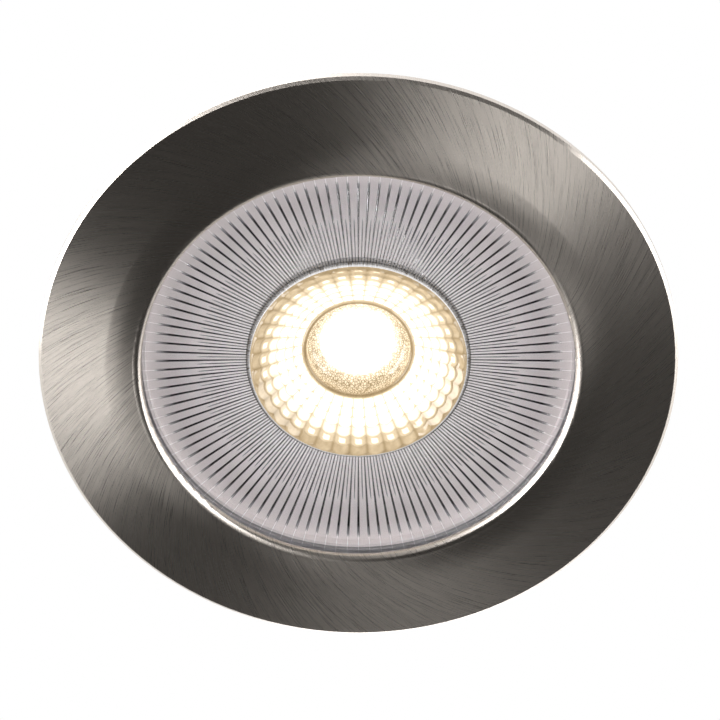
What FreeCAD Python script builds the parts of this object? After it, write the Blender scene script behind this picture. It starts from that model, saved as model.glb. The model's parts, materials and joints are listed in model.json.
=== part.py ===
import FreeCAD, Part
import math
import os
from FreeCAD import Vector

# A recessed soffit downlight. Millimetres, +Z up into the soffit, the light shines down along -Z.
# The origin is the centre of the spigot in the plane where the gasket meets the soffit board.

# ---- running and seating clearances -------------------------------------------------------
FIT_GAP = 0.05           # pin or screw in its hole
SLIDE_GAP = 0.15         # button in its pocket, spigot in its collar
LOOSE_GAP = 0.3          # pieces that pass each other

# ---- trim ring ----------------------------------------------------------------------------
TRIM_D = 85.0            # outside diameter of the brushed ring
COLLAR_D = 66.0          # spigot that passes through the cut-out
COLLAR_WALL = 1.9
COLLAR_H = 7.0           # height of the spigot above the soffit face
APERTURE_D = 57.6        # clear opening of the ring's lip
CREST_D = 60.0           # the ring's foremost circle
FACE_BREAK_D = 67.2      # where the conical face turns into the rounded crest
RIM_T = 1.3              # thickness of the ring at its outer edge
RIM_BEVEL = 0.4
FACE_RISE = 2.3          # from the rim's front edge to the crest
BREAK_RISE = 1.9         # from the rim's front edge to the break
LIP_DEPTH = 0.65         # from the crest back to the end of the inner bevel
LIP_LAND = 0.25
GASKET_T = 1.0
GASKET_IN_D = 69.6
GASKET_OUT_D = 82.0

# ---- ribbed lens plate --------------------------------------------------------------------
LENS_SEAL_T = 0.3
LENS_T = 2.0             # at the rim
LENS_DISH = 1.0          # how far the front is dished towards the middle
LENS_RIM_W = 0.55        # plain border outside the ribs, inside the lip
RIB_COUNT = 120
RIB_DEPTH = 0.6          # groove depth at the outer end, in the back face
RIB_STEEP = 1.3          # groove depth over half its width
LENS_CLAMP_T = 0.5

# ---- centre optic -------------------------------------------------------------------------
OPTIC_D = 28.8           # front ring of the optic
OPTIC_FLANGE_D = 30.0
OPTIC_FLANGE_T = 1.2
OPTIC_L = 12.7           # from the front ring to the end round the light source
OPTIC_END_D = 12.4
HOLLOW_D = 15.0          # mouth of the central hollow
HOLLOW_END_D = 13.6
HOLLOW_WALL_H = 1.6
CENTRE_LENS_D = 10.8      # convex face at the end of the hollow
CENTRE_LENS_CROWN = 1.5
CENTRE_LENS_STEPS = 4
FUNNEL_DEPTH = 3.4       # from the front ring to the mouth of the hollow
HOLLOW_DEPTH = 2.4
SCALE_ROWS = 6
SCALE_SECTORS = 36
SCALE_CROWN = 0.14       # how far a scale's middle stands proud at the outer row, and its sides lie back
SCALE_BORDER = 0.35      # plain ring outside the scales
SCALE_RISER = 0.16       # share of a row's width that its riser takes
SOURCE_POCKET_D = 10.6
SOURCE_POCKET_DEPTH = 2.0

# ---- light source -------------------------------------------------------------------------
PHOSPHOR_D = 9.6
PHOSPHOR_T = 0.25
SUBSTRATE_SIDE = 13.5
SUBSTRATE_T = 1.0
SOURCE_GAP = 0.3         # optic's end to the substrate
PAD_T = 0.3
HOLDER_D = 32.0
HOLDER_T = 3.0
HOLDER_SCREW_PCD = 24.4
HOLDER_SCREW_D = 2.5
HOLDER_HEAD_D = 4.2
HOLDER_HEAD_H = 1.4
SHROUD_T = 1.4           # disc behind the lens plate
SHROUD_TUBE_WALL = 1.2
LEAD_D = 1.3
LEAD_PITCH = 2.2
LED_LEAD_Y = 10.0

# ---- heat sink ----------------------------------------------------------------------------
SKIRT_WALL = 2.0
BODY_SEAL_T = 0.5
DECK_T = 4.1             # the plate that the light source is screwed to
CORE_D = 32.0
CORE_WALL = 2.0
CORE_FLOOR_T = 1.0       # extra floor inside the core
FIN_COUNT = 28
FIN_T = 1.4
FIN_H = 14.0             # above the deck
FIN_TOP_D = 48.0
SINK_STEP = 0.8          # heat sink's outside, inside the collar's
SINK_CHAMFER = 1.0
TRIM_SCREW_COUNT = 4
TRIM_SCREW_D = 2.5
TRIM_SCREW_HEAD_D = 4.4
TRIM_SCREW_HEAD_H = 1.2
TRIM_SCREW_L = 3.7
TRIM_SCREW_Z = 3.5

# ---- driver in the core -------------------------------------------------------------------
BOARD_D = 27.0
BOARD_T = 1.2
STANDOFF_H = 3.0
STANDOFF_D = 3.6
STANDOFF_PCD = 22.0
CAP_D = 7.0
CAP_H = 7.0
CHOKE_SIDE = 6.0
CHOKE_H = 4.4
BRIDGE_L = 5.2
BRIDGE_W = 4.2
BRIDGE_H = 2.4
CHIP_L = 5.0
CHIP_W = 3.9
CHIP_H = 1.6
FUSE_D = 2.6
FUSE_L = 6.6
VARISTOR_D = 6.4
VARISTOR_T = 2.6
PART_LIFT = 0.1          # solder gap below the small parts

# ---- terminal box on the back -------------------------------------------------------------
BOX_HALF_X = 17.0
BOX_FRONT_Y = -10.0
BOX_BACK_Y = 22.0
BOX_H = 14.0
BOX_WALL = 1.6
BOX_FLOOR = 2.0
BOX_CORNER_R = 4.0
BOX_LIP_H = 1.5
BOX_LIP_WALL = 0.7
BOX_SCREW_D = 2.4
BOX_SCREW_HEAD_D = 4.8
BOX_SCREW_HEAD_H = 1.6
BOX_SCREW_X = 12.6
BOX_SCREW_Y = 13.5
BOX_EAR_Y = -18.0
BOX_EAR_R = 3.4
LID_SEAL_T = 0.6
LID_SEAL_W = 1.0
LID_T = 1.8
LID_RIB_H = 1.3
LID_RIB_W = 1.0
HINGE_R = 2.2
HINGE_PIN_D = 2.0
HINGE_HALF = 12.0
HINGE_LID_HALF = 6.8
HINGE_SIDE_GAP = 0.4
LID_SCREW_D = 3.0
LID_SCREW_HEAD_D = 5.6
LID_SCREW_HEAD_H = 1.5
LID_SCREW_Y = -6.2
LID_SCREW_REACH = 4.0    # below the lid's underside
LID_SCREW_PLAY = 0.35
LID_BOSS_D = 6.4
LID_BOSS_DROP = 1.3      # the boss stops this far below the box's rim
INLET_Y = -1.0
INLET_RISE = 7.6         # above the box's underside
INLET_CABLE_D = 7.0
GROMMET_NECK_D = 8.8
GROMMET_FLANGE_D = 10.8
GROMMET_FLANGE_T = 1.2
CLAMP_X = 10.5
CLAMP_HALF_SPAN = 5.2
CLAMP_POST_D = 3.8
CLAMP_POST_H = 4.5
CLAMP_W = 4.6
CLAMP_T = 2.6
CLAMP_GROOVE_D = 6.0
CLAMP_SCREW_D = 1.8
CLAMP_SCREW_HEAD_D = 3.4
CLAMP_SCREW_HEAD_H = 1.3
CLAMP_SCREW_L = 5.4

# ---- terminal block -----------------------------------------------------------------------
POLES = 3
POLE_PITCH = 5.0
BLOCK_END = 3.0          # from the outer pole's centre to the block's end
BLOCK_FRONT_Y = 3.4
BLOCK_L = 13.0
BLOCK_H = 9.5
WIRE_PORT = 2.8
WIRE_PORT_RISE = 3.0
WIRE_PORT_DEPTH = 7.0
BUTTON_W = 3.6
BUTTON_L = 3.0
BUTTON_H = 4.3
BUTTON_PROUD = 1.4
BUTTON_TRAVEL = 1.3
BUTTON_Y = 3.6           # from the block's front to the button's centre
CONTACT_T = 0.6
CONTACT_H = 5.0
TEST_HOLE_D = 1.8

# ---- spring clips -------------------------------------------------------------------------
PIVOT_X = 26.5
PIVOT_Z = 22.0
PIVOT_PIN_D = 2.4
PIN_HEAD_D = 3.6
PIN_HEAD_T = 0.5
COIL_R = 2.6             # to the middle of the wire
WIRE_D = 0.9
WIRE_SIDES = 8
COIL_PITCH = 1.5
COIL_FULL_TURNS = 4
FIXED_LEG_L = 5.5
MOVING_LEG_L = 10.0
LEG_GAP = 0.3
ARM_DROOP = 51.5         # degrees below level, where the arm rests on its stop
ARM_L = 19.0
ARM_T = 0.8
ARM_ROOT_HALF = 6.8
ARM_TIP_HALF = 3.8
ARM_START = 3.8
ARM_EAR_T = 0.9
ARM_EAR_R = 2.4
ARM_CURL = 25.0          # degrees that the tip is bent back
ARM_CURL_L = 2.5
SLEEVE_L = 5.0
SLEEVE_WALL = 1.0
SLEEVE_END = 0.8
BRACKET_T = 0.8
BRACKET_EAR_GAP = 0.7    # bracket ear to arm ear
POCKET_SIDE_GAP = 1.4    # bracket ear to the fins beside it
POCKET_FLOOR_RISE = 2.1  # above the light source's mounting face
RELIEF_DROP = 5.0        # notch in the rim below the pocket's floor
RELIEF_WALL = 2.0
BRACKET_TOP = 6.6        # above the pivot
BRACKET_BOTTOM = 7.4     # below the pivot
BRACKET_SCREW_D = 3.0
BRACKET_SCREW_HEAD_D = 5.0
BRACKET_SCREW_L = 5.5
BRACKET_SCREW_UP = 5.0
BRACKET_SCREW_DOWN = 5.2
STOP_REACH = 5.4
STOP_W = 1.2

# ---- worked out from the sizes above --------------------------------------------------------
R_TRIM = TRIM_D / 2
R_COLLAR = COLLAR_D / 2
R_COLLAR_IN = R_COLLAR - COLLAR_WALL
R_APERTURE = APERTURE_D / 2
R_SKIRT = R_COLLAR_IN - SLIDE_GAP
R_CAVITY = R_SKIRT - SKIRT_WALL
R_LENS = R_COLLAR_IN - LOOSE_GAP
R_OPTIC = OPTIC_D / 2
R_OPTIC_HOLE = R_OPTIC + FIT_GAP
R_SINK = R_COLLAR - SINK_STEP
R_RIB_OUT = R_APERTURE - LENS_RIM_W
R_RIB_IN = R_OPTIC_HOLE - LOOSE_GAP
R_HOLLOW = HOLLOW_D / 2
R_CORE = CORE_D / 2
R_CORE_IN = R_CORE - CORE_WALL

Z_FLANGE = -GASKET_T
Z_RIM = Z_FLANGE - RIM_T
Z_CREST = Z_RIM - FACE_RISE
Z_BREAK = Z_RIM - BREAK_RISE
Z_LIP = Z_CREST + LIP_DEPTH
Z_LEDGE = Z_LIP + LIP_LAND
Z_LENS_FRONT = Z_LEDGE + LENS_SEAL_T
Z_LENS_BACK = Z_LENS_FRONT + LENS_T
Z_LENS_MIDDLE = Z_LENS_FRONT + LENS_DISH
Z_SKIRT = Z_LENS_BACK + LENS_CLAMP_T
Z_SHOULDER = COLLAR_H + BODY_SEAL_T
Z_OPTIC_FRONT = Z_LENS_MIDDLE
Z_OPTIC_FLANGE = Z_LENS_BACK + OPTIC_FLANGE_T
Z_OPTIC_END = Z_OPTIC_FRONT + OPTIC_L
Z_HOLLOW = Z_OPTIC_FRONT + FUNNEL_DEPTH
Z_SUBSTRATE = Z_OPTIC_END + SOURCE_GAP
Z_SEAT = Z_SUBSTRATE + SUBSTRATE_T + PAD_T
Z_HOLDER = Z_SEAT - HOLDER_T
Z_DECK = Z_SEAT + DECK_T
Z_CORE_FLOOR = Z_DECK + CORE_FLOOR_T
Z_FIN_TOP = Z_DECK + FIN_H
Z_BOARD = Z_CORE_FLOOR + STANDOFF_H
Z_BOARD_TOP = Z_BOARD + BOARD_T
Z_BOX = Z_FIN_TOP
Z_BOX_FLOOR = Z_BOX + BOX_FLOOR
Z_BOX_RIM = Z_BOX + BOX_H
Z_LID = Z_BOX_RIM + LID_SEAL_T
Z_LID_TOP = Z_LID + LID_T
Z_LID_BOSS = Z_BOX_RIM - LID_BOSS_DROP
Z_INLET = Z_BOX + INLET_RISE
Z_BLOCK_TOP = Z_BOX_FLOOR + BLOCK_H
Z_POCKET = Z_SEAT + POCKET_FLOOR_RISE
HINGE_Y = BOX_BACK_Y + HINGE_R + LOOSE_GAP
BLOCK_HALF_X = (POLES - 1) / 2 * POLE_PITCH + BLOCK_END
CONTACT_Y = BLOCK_FRONT_Y + WIRE_PORT_DEPTH

X_BRACKET = PIVOT_X - COIL_R - WIRE_D / 2 - LEG_GAP      # outer face of the bracket's back
X_PAD = X_BRACKET - BRACKET_T                            # face that the bracket is screwed to
ARM_OFFSET = COIL_R - WIRE_D / 2 - LEG_GAP - ARM_T       # arm's underside from the pivot
ARM_EAR_OUT = ARM_ROOT_HALF
BRACKET_IN = ARM_EAR_OUT + BRACKET_EAR_GAP
BRACKET_OUT = BRACKET_IN + BRACKET_T
POCKET_HALF = BRACKET_OUT + POCKET_SIDE_GAP

UP = Vector(0, 0, 1)
ORIGIN = Vector(0, 0, 0)


# ---- building helpers -----------------------------------------------------------------------
def solid_of(shape):
    """The one solid of a result, with the seams between its faces merged."""
    clean = shape.removeSplitter()
    return clean.Solids[0] if len(clean.Solids) == 1 else clean


def joined(first, others):
    return solid_of(first.fuse(list(others)))


def lathe(points):
    """Solid of revolution about Z of a closed outline of (radius, height) points."""
    corners = [Vector(r, 0, z) for r, z in points]
    return Part.Face(Part.makePolygon(corners + corners[:1])).revolve(ORIGIN, UP, 360)


def ring(r_in, r_out, z_low, z_high):
    return lathe([(r_in, z_low), (r_out, z_low), (r_out, z_high), (r_in, z_high)])


def rod(radius, length, base, axis=UP):
    return Part.makeCylinder(radius, length, base, axis)


def block(x, y, z):
    """Box between the pairs of limits x, y and z."""
    return Part.makeBox(x[1] - x[0], y[1] - y[0], z[1] - z[0], Vector(x[0], y[0], z[0]))


def centred(centre, size):
    """Box of a size, centred on a point in X and Y and standing on it in Z."""
    corner = Vector(centre[0] - size[0] / 2, centre[1] - size[1] / 2, centre[2])
    return Part.makeBox(size[0], size[1], size[2], corner)


def plate(points, y_low, y_high):
    """Prism of a closed (x, z) outline between two values of y."""
    corners = [Vector(x, y_low, z) for x, z in points]
    return Part.Face(Part.makePolygon(corners + corners[:1])).extrude(Vector(0, y_high - y_low, 0))


def turned(shape, degrees):
    copy = shape.copy()
    copy.rotate(ORIGIN, UP, degrees)
    return copy


def around(shape, count, start=0.0):
    return [turned(shape, start + 360 / count * i) for i in range(count)]


def rounded_box(inset, z_low, z_high):
    """The terminal box's outline, drawn in by an inset, between two heights."""
    x = BOX_HALF_X - inset
    body = block((-x, x), (BOX_FRONT_Y + inset, BOX_BACK_Y - inset), (z_low, z_high))
    upright = [e for e in body.Edges if abs(e.tangentAt(e.FirstParameter).z) > 0.9]
    return body.makeFillet(BOX_CORNER_R - inset, upright)


def rounded_frame(inset, width, z_low, z_high):
    return rounded_box(inset, z_low, z_high).cut(rounded_box(inset + width, z_low - 1, z_high + 1))


def radial_groove(inner, outer, steep, over):
    """V groove along a radius, cut from above. inner and outer are (radius, surface height, depth)."""
    ends = []
    for radius, surface, depth in (inner, outer):
        half = (depth + over) / steep
        floor = Vector(radius, 0, surface - depth)
        ends.append((floor, Vector(radius, half, surface + over), Vector(radius, -half, surface + over)))
    (floor_in, left_in, right_in), (floor_out, left_out, right_out) = ends
    sides = [
        [floor_in, left_in, right_in],
        [floor_out, left_out, right_out],
        [floor_in, floor_out, left_out, left_in],
        [floor_in, floor_out, right_out, right_in],
        [left_in, left_out, right_out, right_in],
    ]
    shell = Part.Shell([Part.Face(Part.makePolygon(side + side[:1])) for side in sides])
    solid = Part.Solid(shell)
    if solid.Volume < 0:
        solid.reverse()
    return solid


def pan_screw(shaft_d, length, head_d, head_h, head_seat, axis=UP):
    """Screw whose head stands on head_seat, pointing against axis."""
    shaft = rod(shaft_d / 2, length, head_seat - axis * length, axis)
    straight = head_h * 0.55
    skirt = rod(head_d / 2, straight, head_seat, axis)
    crown = Part.makeCone(head_d / 2, head_d * 0.36, head_h - straight, head_seat + axis * straight, axis)
    return solid_of(shaft.fuse([skirt, crown]))


def flush_screw(shaft_d, length, head_d, head_h, face_point, axis):
    """Countersunk screw whose head is level with face_point, pointing against axis."""
    shaft = rod(shaft_d / 2, length, face_point - axis * length, axis)
    head = Part.makeCone(shaft_d / 2, head_d / 2, head_h, face_point - axis * head_h, axis)
    return solid_of(shaft.fuse(head))


def flush_hole(shaft_d, length, head_d, head_h, face_point, axis):
    """The room that a countersunk screw needs, with its fit clearance."""
    grow = 2 * FIT_GAP
    shaft = rod(shaft_d / 2 + FIT_GAP, length + LOOSE_GAP, face_point - axis * (length + LOOSE_GAP), axis)
    low = face_point - axis * head_h
    head = Part.makeCone((shaft_d + grow) / 2, (head_d + grow) / 2, head_h, low, axis)
    mouth = rod((head_d + grow) / 2, 1.0, face_point, axis)
    return shaft.fuse([head, mouth])


# ---- front ------------------------------------------------------------------------------------
def make_trim_ring():
    """Brushed ring and its collar in one turned piece: a cone that rounds over into the crest."""
    def at(r, z):
        return Vector(r, 0, z)

    chamfer = 0.4
    r_break = FACE_BREAK_D / 2
    r_crest = CREST_D / 2
    rise = math.atan2(BREAK_RISE, R_TRIM - RIM_BEVEL - r_break)
    bulge = math.hypot(r_break - r_crest, Z_BREAK - Z_CREST) / 2 * math.tan(rise / 4)
    over_crest = at((r_break + r_crest) / 2, (Z_BREAK + Z_CREST) / 2 - bulge)
    bevel_w = r_crest - R_APERTURE
    over_bevel = at(r_crest - bevel_w * 0.74, Z_CREST + LIP_DEPTH * 0.3)
    straight = [
        at(R_APERTURE, Z_LIP),
        at(R_APERTURE, Z_LEDGE),
        at(R_COLLAR_IN, Z_LEDGE),
        at(R_COLLAR_IN, COLLAR_H),
        at(R_COLLAR - chamfer, COLLAR_H),
        at(R_COLLAR, COLLAR_H - chamfer),
        at(R_COLLAR, Z_FLANGE),
        at(R_TRIM, Z_FLANGE),
        at(R_TRIM, Z_RIM + RIM_BEVEL),
    ]
    edges = [Part.makeLine(a, b) for a, b in zip(straight, straight[1:])]
    rim_front = at(R_TRIM - RIM_BEVEL, Z_RIM)
    edges.append(Part.makeLine(straight[-1], rim_front))
    edges.append(Part.makeLine(rim_front, at(r_break, Z_BREAK)))
    edges.append(Part.Arc(at(r_break, Z_BREAK), over_crest, at(r_crest, Z_CREST)).toShape())
    edges.append(Part.Arc(at(r_crest, Z_CREST), over_bevel, straight[0]).toShape())
    body = Part.Face(Part.Wire(edges)).revolve(ORIGIN, UP, 360)
    return solid_of(body.cut([trim_screw_hole(i) for i in range(TRIM_SCREW_COUNT)]))


def trim_screw_frame(index):
    """Point on the collar's outside and outward direction of one radial screw."""
    angle = math.radians(360 / TRIM_SCREW_COUNT * (index + 0.5))
    out = Vector(math.cos(angle), math.sin(angle), 0)
    return out * (R_COLLAR - FIT_GAP) + UP * TRIM_SCREW_Z, out


def trim_screw_hole(index):
    point, out = trim_screw_frame(index)
    return flush_hole(TRIM_SCREW_D, TRIM_SCREW_L, TRIM_SCREW_HEAD_D, TRIM_SCREW_HEAD_H, point, out)


def make_trim_screws():
    screws = []
    for index in range(TRIM_SCREW_COUNT):
        point, out = trim_screw_frame(index)
        screws.append(
            flush_screw(TRIM_SCREW_D, TRIM_SCREW_L, TRIM_SCREW_HEAD_D, TRIM_SCREW_HEAD_H, point, out)
        )
    return Part.makeCompound(screws)


def make_ceiling_gasket():
    return ring(GASKET_IN_D / 2, GASKET_OUT_D / 2, Z_FLANGE, 0)


def make_lens_seal():
    return ring(R_APERTURE + LOOSE_GAP, R_LENS, Z_LEDGE, Z_LENS_FRONT)


def make_lens_plate():
    """Clear disc with a dished front, and the radial ribs on its back."""
    body = lathe([
        (R_OPTIC_HOLE, Z_LENS_MIDDLE),
        (R_APERTURE, Z_LENS_FRONT),
        (R_LENS, Z_LENS_FRONT),
        (R_LENS, Z_LENS_BACK),
        (R_OPTIC_HOLE, Z_LENS_BACK),
    ])
    inner = (R_RIB_IN, Z_LENS_BACK, RIB_DEPTH * R_RIB_IN / R_RIB_OUT)
    outer = (R_RIB_OUT, Z_LENS_BACK, RIB_DEPTH)
    groove = radial_groove(inner, outer, RIB_STEEP, 0.2)
    return solid_of(body.cut(around(groove, RIB_COUNT)))


def make_lens_clamp_ring():
    return ring(R_CAVITY + LOOSE_GAP, R_LENS - LOOSE_GAP, Z_LENS_BACK, Z_SKIRT)


def optic_radius(z):
    """Outer radius of the optic's reflecting flank, a parabola from its flange to its end."""
    share = (Z_OPTIC_END - z) / (Z_OPTIC_END - Z_OPTIC_FLANGE)
    return OPTIC_END_D / 2 + (R_OPTIC - OPTIC_END_D / 2) * share ** 0.8


def funnel_rings():
    """Rings of the scaled funnel as (radius, height, crown), from its mouth to the hollow."""
    r_mouth = R_OPTIC - SCALE_BORDER
    row_r = (r_mouth - R_HOLLOW) / SCALE_ROWS
    row_z = FUNNEL_DEPTH / SCALE_ROWS
    rings = [(r_mouth, Z_OPTIC_FRONT - 1.0, 0.0), (r_mouth, Z_OPTIC_FRONT, SCALE_CROWN)]
    for row in range(SCALE_ROWS):
        r_next = r_mouth - row_r * (row + 1)
        z_now = Z_OPTIC_FRONT + row_z * row
        crown = SCALE_CROWN * r_next / r_mouth
        rings.append((r_next + row_r * SCALE_RISER, z_now + row_z * 0.45, crown))
        rings.append((r_next, z_now + row_z, crown))
    rings.append((R_HOLLOW - 1.0, Z_HOLLOW + row_z * 0.2, 0.0))
    return rings


def make_scale_cutter():
    """Faceted plug that leaves the rows of scales: two facets to a scale, with a riser behind each row."""
    sides = 2 * SCALE_SECTORS
    loops = []
    for radius, height, crown in funnel_rings():
        loop = []
        for k in range(sides):
            angle = 2 * math.pi * k / sides
            lift = -crown if k % 2 else crown
            loop.append(Vector(radius * math.cos(angle), radius * math.sin(angle), height + lift))
        loops.append(loop)
    triangles = []
    for low, high in zip(loops, loops[1:]):
        for k in range(sides):
            n = (k + 1) % sides
            if k % 2:
                triangles += [(low[k], low[n], high[n]), (low[k], high[n], high[k])]
            else:
                triangles += [(low[k], low[n], high[k]), (low[n], high[n], high[k])]
    faces = [Part.Face(Part.makePolygon(list(t) + [t[0]])) for t in triangles]
    faces += [Part.Face(Part.makePolygon(loop + loop[:1])) for loop in (loops[0], loops[-1])]
    shell = Part.makeShell(faces)
    shell.sewShape()
    solid = Part.Solid(shell)
    if solid.Volume < 0:
        solid.reverse()
    return solid


def centre_lens_points():
    """Outline of the convex face at the end of the hollow, from its edge to the axis."""
    points = []
    for step in range(CENTRE_LENS_STEPS, -1, -1):
        share = step / CENTRE_LENS_STEPS
        rise = CENTRE_LENS_CROWN * (1 - share ** 2)
        points.append((CENTRE_LENS_D / 2 * share, Z_HOLLOW + HOLLOW_DEPTH - rise))
    return points


def make_tir_optic():
    """Moulded optic: rows of scales round a deep hollow, and a flank that narrows to the source."""
    flank_steps = 4
    step = (Z_OPTIC_END - Z_OPTIC_FLANGE) / flank_steps
    flank = [(optic_radius(Z_OPTIC_END - step * i), Z_OPTIC_END - step * i) for i in range(flank_steps + 1)]
    outline = [
        (R_OPTIC, Z_OPTIC_FRONT),
        (R_HOLLOW, Z_OPTIC_FRONT),
        (R_HOLLOW, Z_HOLLOW),
        (HOLLOW_END_D / 2, Z_HOLLOW + HOLLOW_WALL_H),
    ] + centre_lens_points() + [
        (0, Z_OPTIC_END - SOURCE_POCKET_DEPTH),
        (SOURCE_POCKET_D / 2, Z_OPTIC_END - SOURCE_POCKET_DEPTH * 0.5),
        (SOURCE_POCKET_D / 2, Z_OPTIC_END),
    ] + flank + [
        (OPTIC_FLANGE_D / 2, Z_OPTIC_FLANGE),
        (OPTIC_FLANGE_D / 2, Z_LENS_BACK),
        (R_OPTIC, Z_LENS_BACK),
    ]
    return lathe(outline).cut(make_scale_cutter()).Solids[0]


def make_optic_holder():
    """Disc behind the lens plate: a rim bears on the plate, a tube on the light source's holder."""
    r_in = R_OPTIC + LOOSE_GAP
    r_tube = r_in + SHROUD_TUBE_WALL
    z_disc = Z_OPTIC_FLANGE + SHROUD_T
    body = lathe([
        (r_in, Z_OPTIC_FLANGE),
        (R_RIB_OUT + SLIDE_GAP, Z_OPTIC_FLANGE),
        (R_RIB_OUT + SLIDE_GAP, Z_LENS_BACK),
        (R_CAVITY - SLIDE_GAP, Z_LENS_BACK),
        (R_CAVITY - SLIDE_GAP, z_disc),
        (r_tube, z_disc),
        (r_tube, Z_HOLDER),
        (r_in, Z_HOLDER),
    ])
    rib_r = R_CAVITY - SLIDE_GAP - 2.0
    rib_h = 3.0
    rib = plate([
        (r_tube - 0.4, z_disc - 0.2),
        (rib_r, z_disc - 0.2),
        (rib_r, z_disc + 0.6),
        (r_tube - 0.4, z_disc + rib_h),
    ], -0.6, 0.6)
    return joined(body, around(rib, 12, 15))


# ---- light source -------------------------------------------------------------------------------
def holder_screw_seats():
    reach = HOLDER_SCREW_PCD / 2
    return [Vector(side * reach, 0, Z_HOLDER) for side in (-1, 1)]


def led_lead_places():
    return [Vector(side * LEAD_PITCH / 2, LED_LEAD_Y, 0) for side in (-1, 1)]


def make_led_holder():
    """Round clamp with a pocket for the substrate and a throat for the optic."""
    throat = OPTIC_END_D / 2 + 2 * LOOSE_GAP
    body = lathe([
        (optic_radius(Z_HOLDER) + LOOSE_GAP, Z_HOLDER),
        (HOLDER_D / 2, Z_HOLDER),
        (HOLDER_D / 2, Z_SEAT),
        (throat, Z_SEAT),
        (throat, Z_OPTIC_END),
    ])
    pocket = SUBSTRATE_SIDE + 2 * SLIDE_GAP
    cuts = [centred((0, 0, Z_SUBSTRATE), (pocket, pocket, HOLDER_T))]
    for seat in holder_screw_seats():
        cuts.append(rod(HOLDER_SCREW_D / 2 + FIT_GAP, HOLDER_T, seat))
    for place in led_lead_places():
        cuts.append(rod(LEAD_D / 2 + SLIDE_GAP, HOLDER_T, place + UP * (Z_HOLDER + 1.0)))
    return solid_of(body.cut(cuts))


def make_led_holder_screws():
    length = HOLDER_T + 3.5
    screws = []
    for seat in holder_screw_seats():
        screws.append(
            pan_screw(HOLDER_SCREW_D, length, HOLDER_HEAD_D, HOLDER_HEAD_H, seat, Vector(0, 0, -1))
        )
    return Part.makeCompound(screws)


def make_led_substrate():
    return centred((0, 0, Z_SUBSTRATE), (SUBSTRATE_SIDE, SUBSTRATE_SIDE, SUBSTRATE_T))


def make_led_phosphor():
    return rod(PHOSPHOR_D / 2, PHOSPHOR_T, Vector(0, 0, Z_SUBSTRATE - PHOSPHOR_T))


def make_thermal_pad():
    side = SUBSTRATE_SIDE
    return centred((0, 0, Z_SEAT - PAD_T), (side, side, PAD_T))


def make_led_leads():
    low = Z_HOLDER + 1.0
    return Part.makeCompound([rod(LEAD_D / 2, Z_BOARD - low, p + UP * low) for p in led_lead_places()])


# ---- heat sink ------------------------------------------------------------------------------------
def box_screw_places():
    """Where the terminal box is screwed down, in X and Y."""
    return [(-BOX_SCREW_X, BOX_SCREW_Y), (BOX_SCREW_X, BOX_SCREW_Y), (0, BOX_EAR_Y)]


def clip_pocket():
    """Room for one spring clip: a pocket through the fins and a notch in the rim below it."""
    far = R_COLLAR + 5
    pocket = block((X_PAD, far), (-POCKET_HALF, POCKET_HALF), (Z_POCKET, Z_FIN_TOP + 1))
    notch_x = R_CAVITY + RELIEF_WALL
    notch = block((notch_x, far), (-POCKET_HALF, POCKET_HALF), (Z_POCKET - RELIEF_DROP, Z_POCKET + 1))
    return pocket.fuse(notch)


def make_heat_sink():
    """Die-cast cup with a finned, tapering back, a hollow core and two clip pockets."""
    body = lathe([
        (R_CAVITY, Z_SKIRT),
        (R_SKIRT, Z_SKIRT),
        (R_SKIRT, Z_SHOULDER),
        (R_SINK, Z_SHOULDER),
        (R_SINK, Z_DECK - SINK_CHAMFER),
        (R_SINK - SINK_CHAMFER, Z_DECK),
        (R_CORE, Z_DECK),
        (R_CORE, Z_FIN_TOP),
        (R_CORE_IN, Z_FIN_TOP),
        (R_CORE_IN, Z_CORE_FLOOR),
        (0, Z_CORE_FLOOR),
        (0, Z_SEAT),
        (R_CAVITY, Z_SEAT),
    ])
    r_root = R_CORE - 0.5
    fin = plate([
        (r_root, Z_DECK - 0.5),
        (R_SINK - SINK_CHAMFER - 0.3, Z_DECK - 0.5),
        (R_SINK - SINK_CHAMFER - 0.3, Z_DECK + 1.0),
        (FIN_TOP_D / 2, Z_FIN_TOP - 1.0),
        (FIN_TOP_D / 2 - 1.0, Z_FIN_TOP),
        (r_root, Z_FIN_TOP),
    ], -FIN_T / 2, FIN_T / 2)
    pad_top = PIVOT_Z + BRACKET_TOP + 0.6
    pad = block((r_root - 2, X_PAD), (-BRACKET_OUT, BRACKET_OUT), (Z_DECK - 0.5, pad_top))
    pad = pad.cut(rod(R_CORE_IN, FIN_H, Vector(0, 0, Z_DECK)))
    pads = [pad, turned(pad, 180)]
    bosses = [rod(BOX_SCREW_D / 2 + 2, FIN_H, Vector(x, y, Z_DECK)) for x, y in box_screw_places()]
    bosses = [b.cut(rod(R_CORE_IN, FIN_H, Vector(0, 0, Z_DECK))) for b in bosses]
    reach = STANDOFF_PCD / 2
    post = rod(STANDOFF_D / 2, Z_BOARD - Z_CORE_FLOOR, Vector(reach, 0, Z_CORE_FLOOR))
    body = joined(body, around(fin, FIN_COUNT, 180 / FIN_COUNT) + pads + bosses + around(post, 3, 30))
    cuts = [clip_pocket(), turned(clip_pocket(), 180)]
    cuts += [trim_screw_hole(i) for i in range(TRIM_SCREW_COUNT)]
    for seat in holder_screw_seats():
        cuts.append(rod(HOLDER_SCREW_D / 2 + FIT_GAP, 3.5 + LOOSE_GAP, seat + UP * HOLDER_T))
    cuts.append(slot_through_deck())
    for x, y in box_screw_places():
        depth = box_screw_length() - BOX_FLOOR + LOOSE_GAP
        cuts.append(rod(BOX_SCREW_D / 2 + FIT_GAP, depth, Vector(x, y, Z_FIN_TOP - depth)))
    for side in (0, 180):
        cuts += [turned(hole, side) for hole in bracket_screw_holes()]
    return solid_of(body.cut(cuts))


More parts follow.
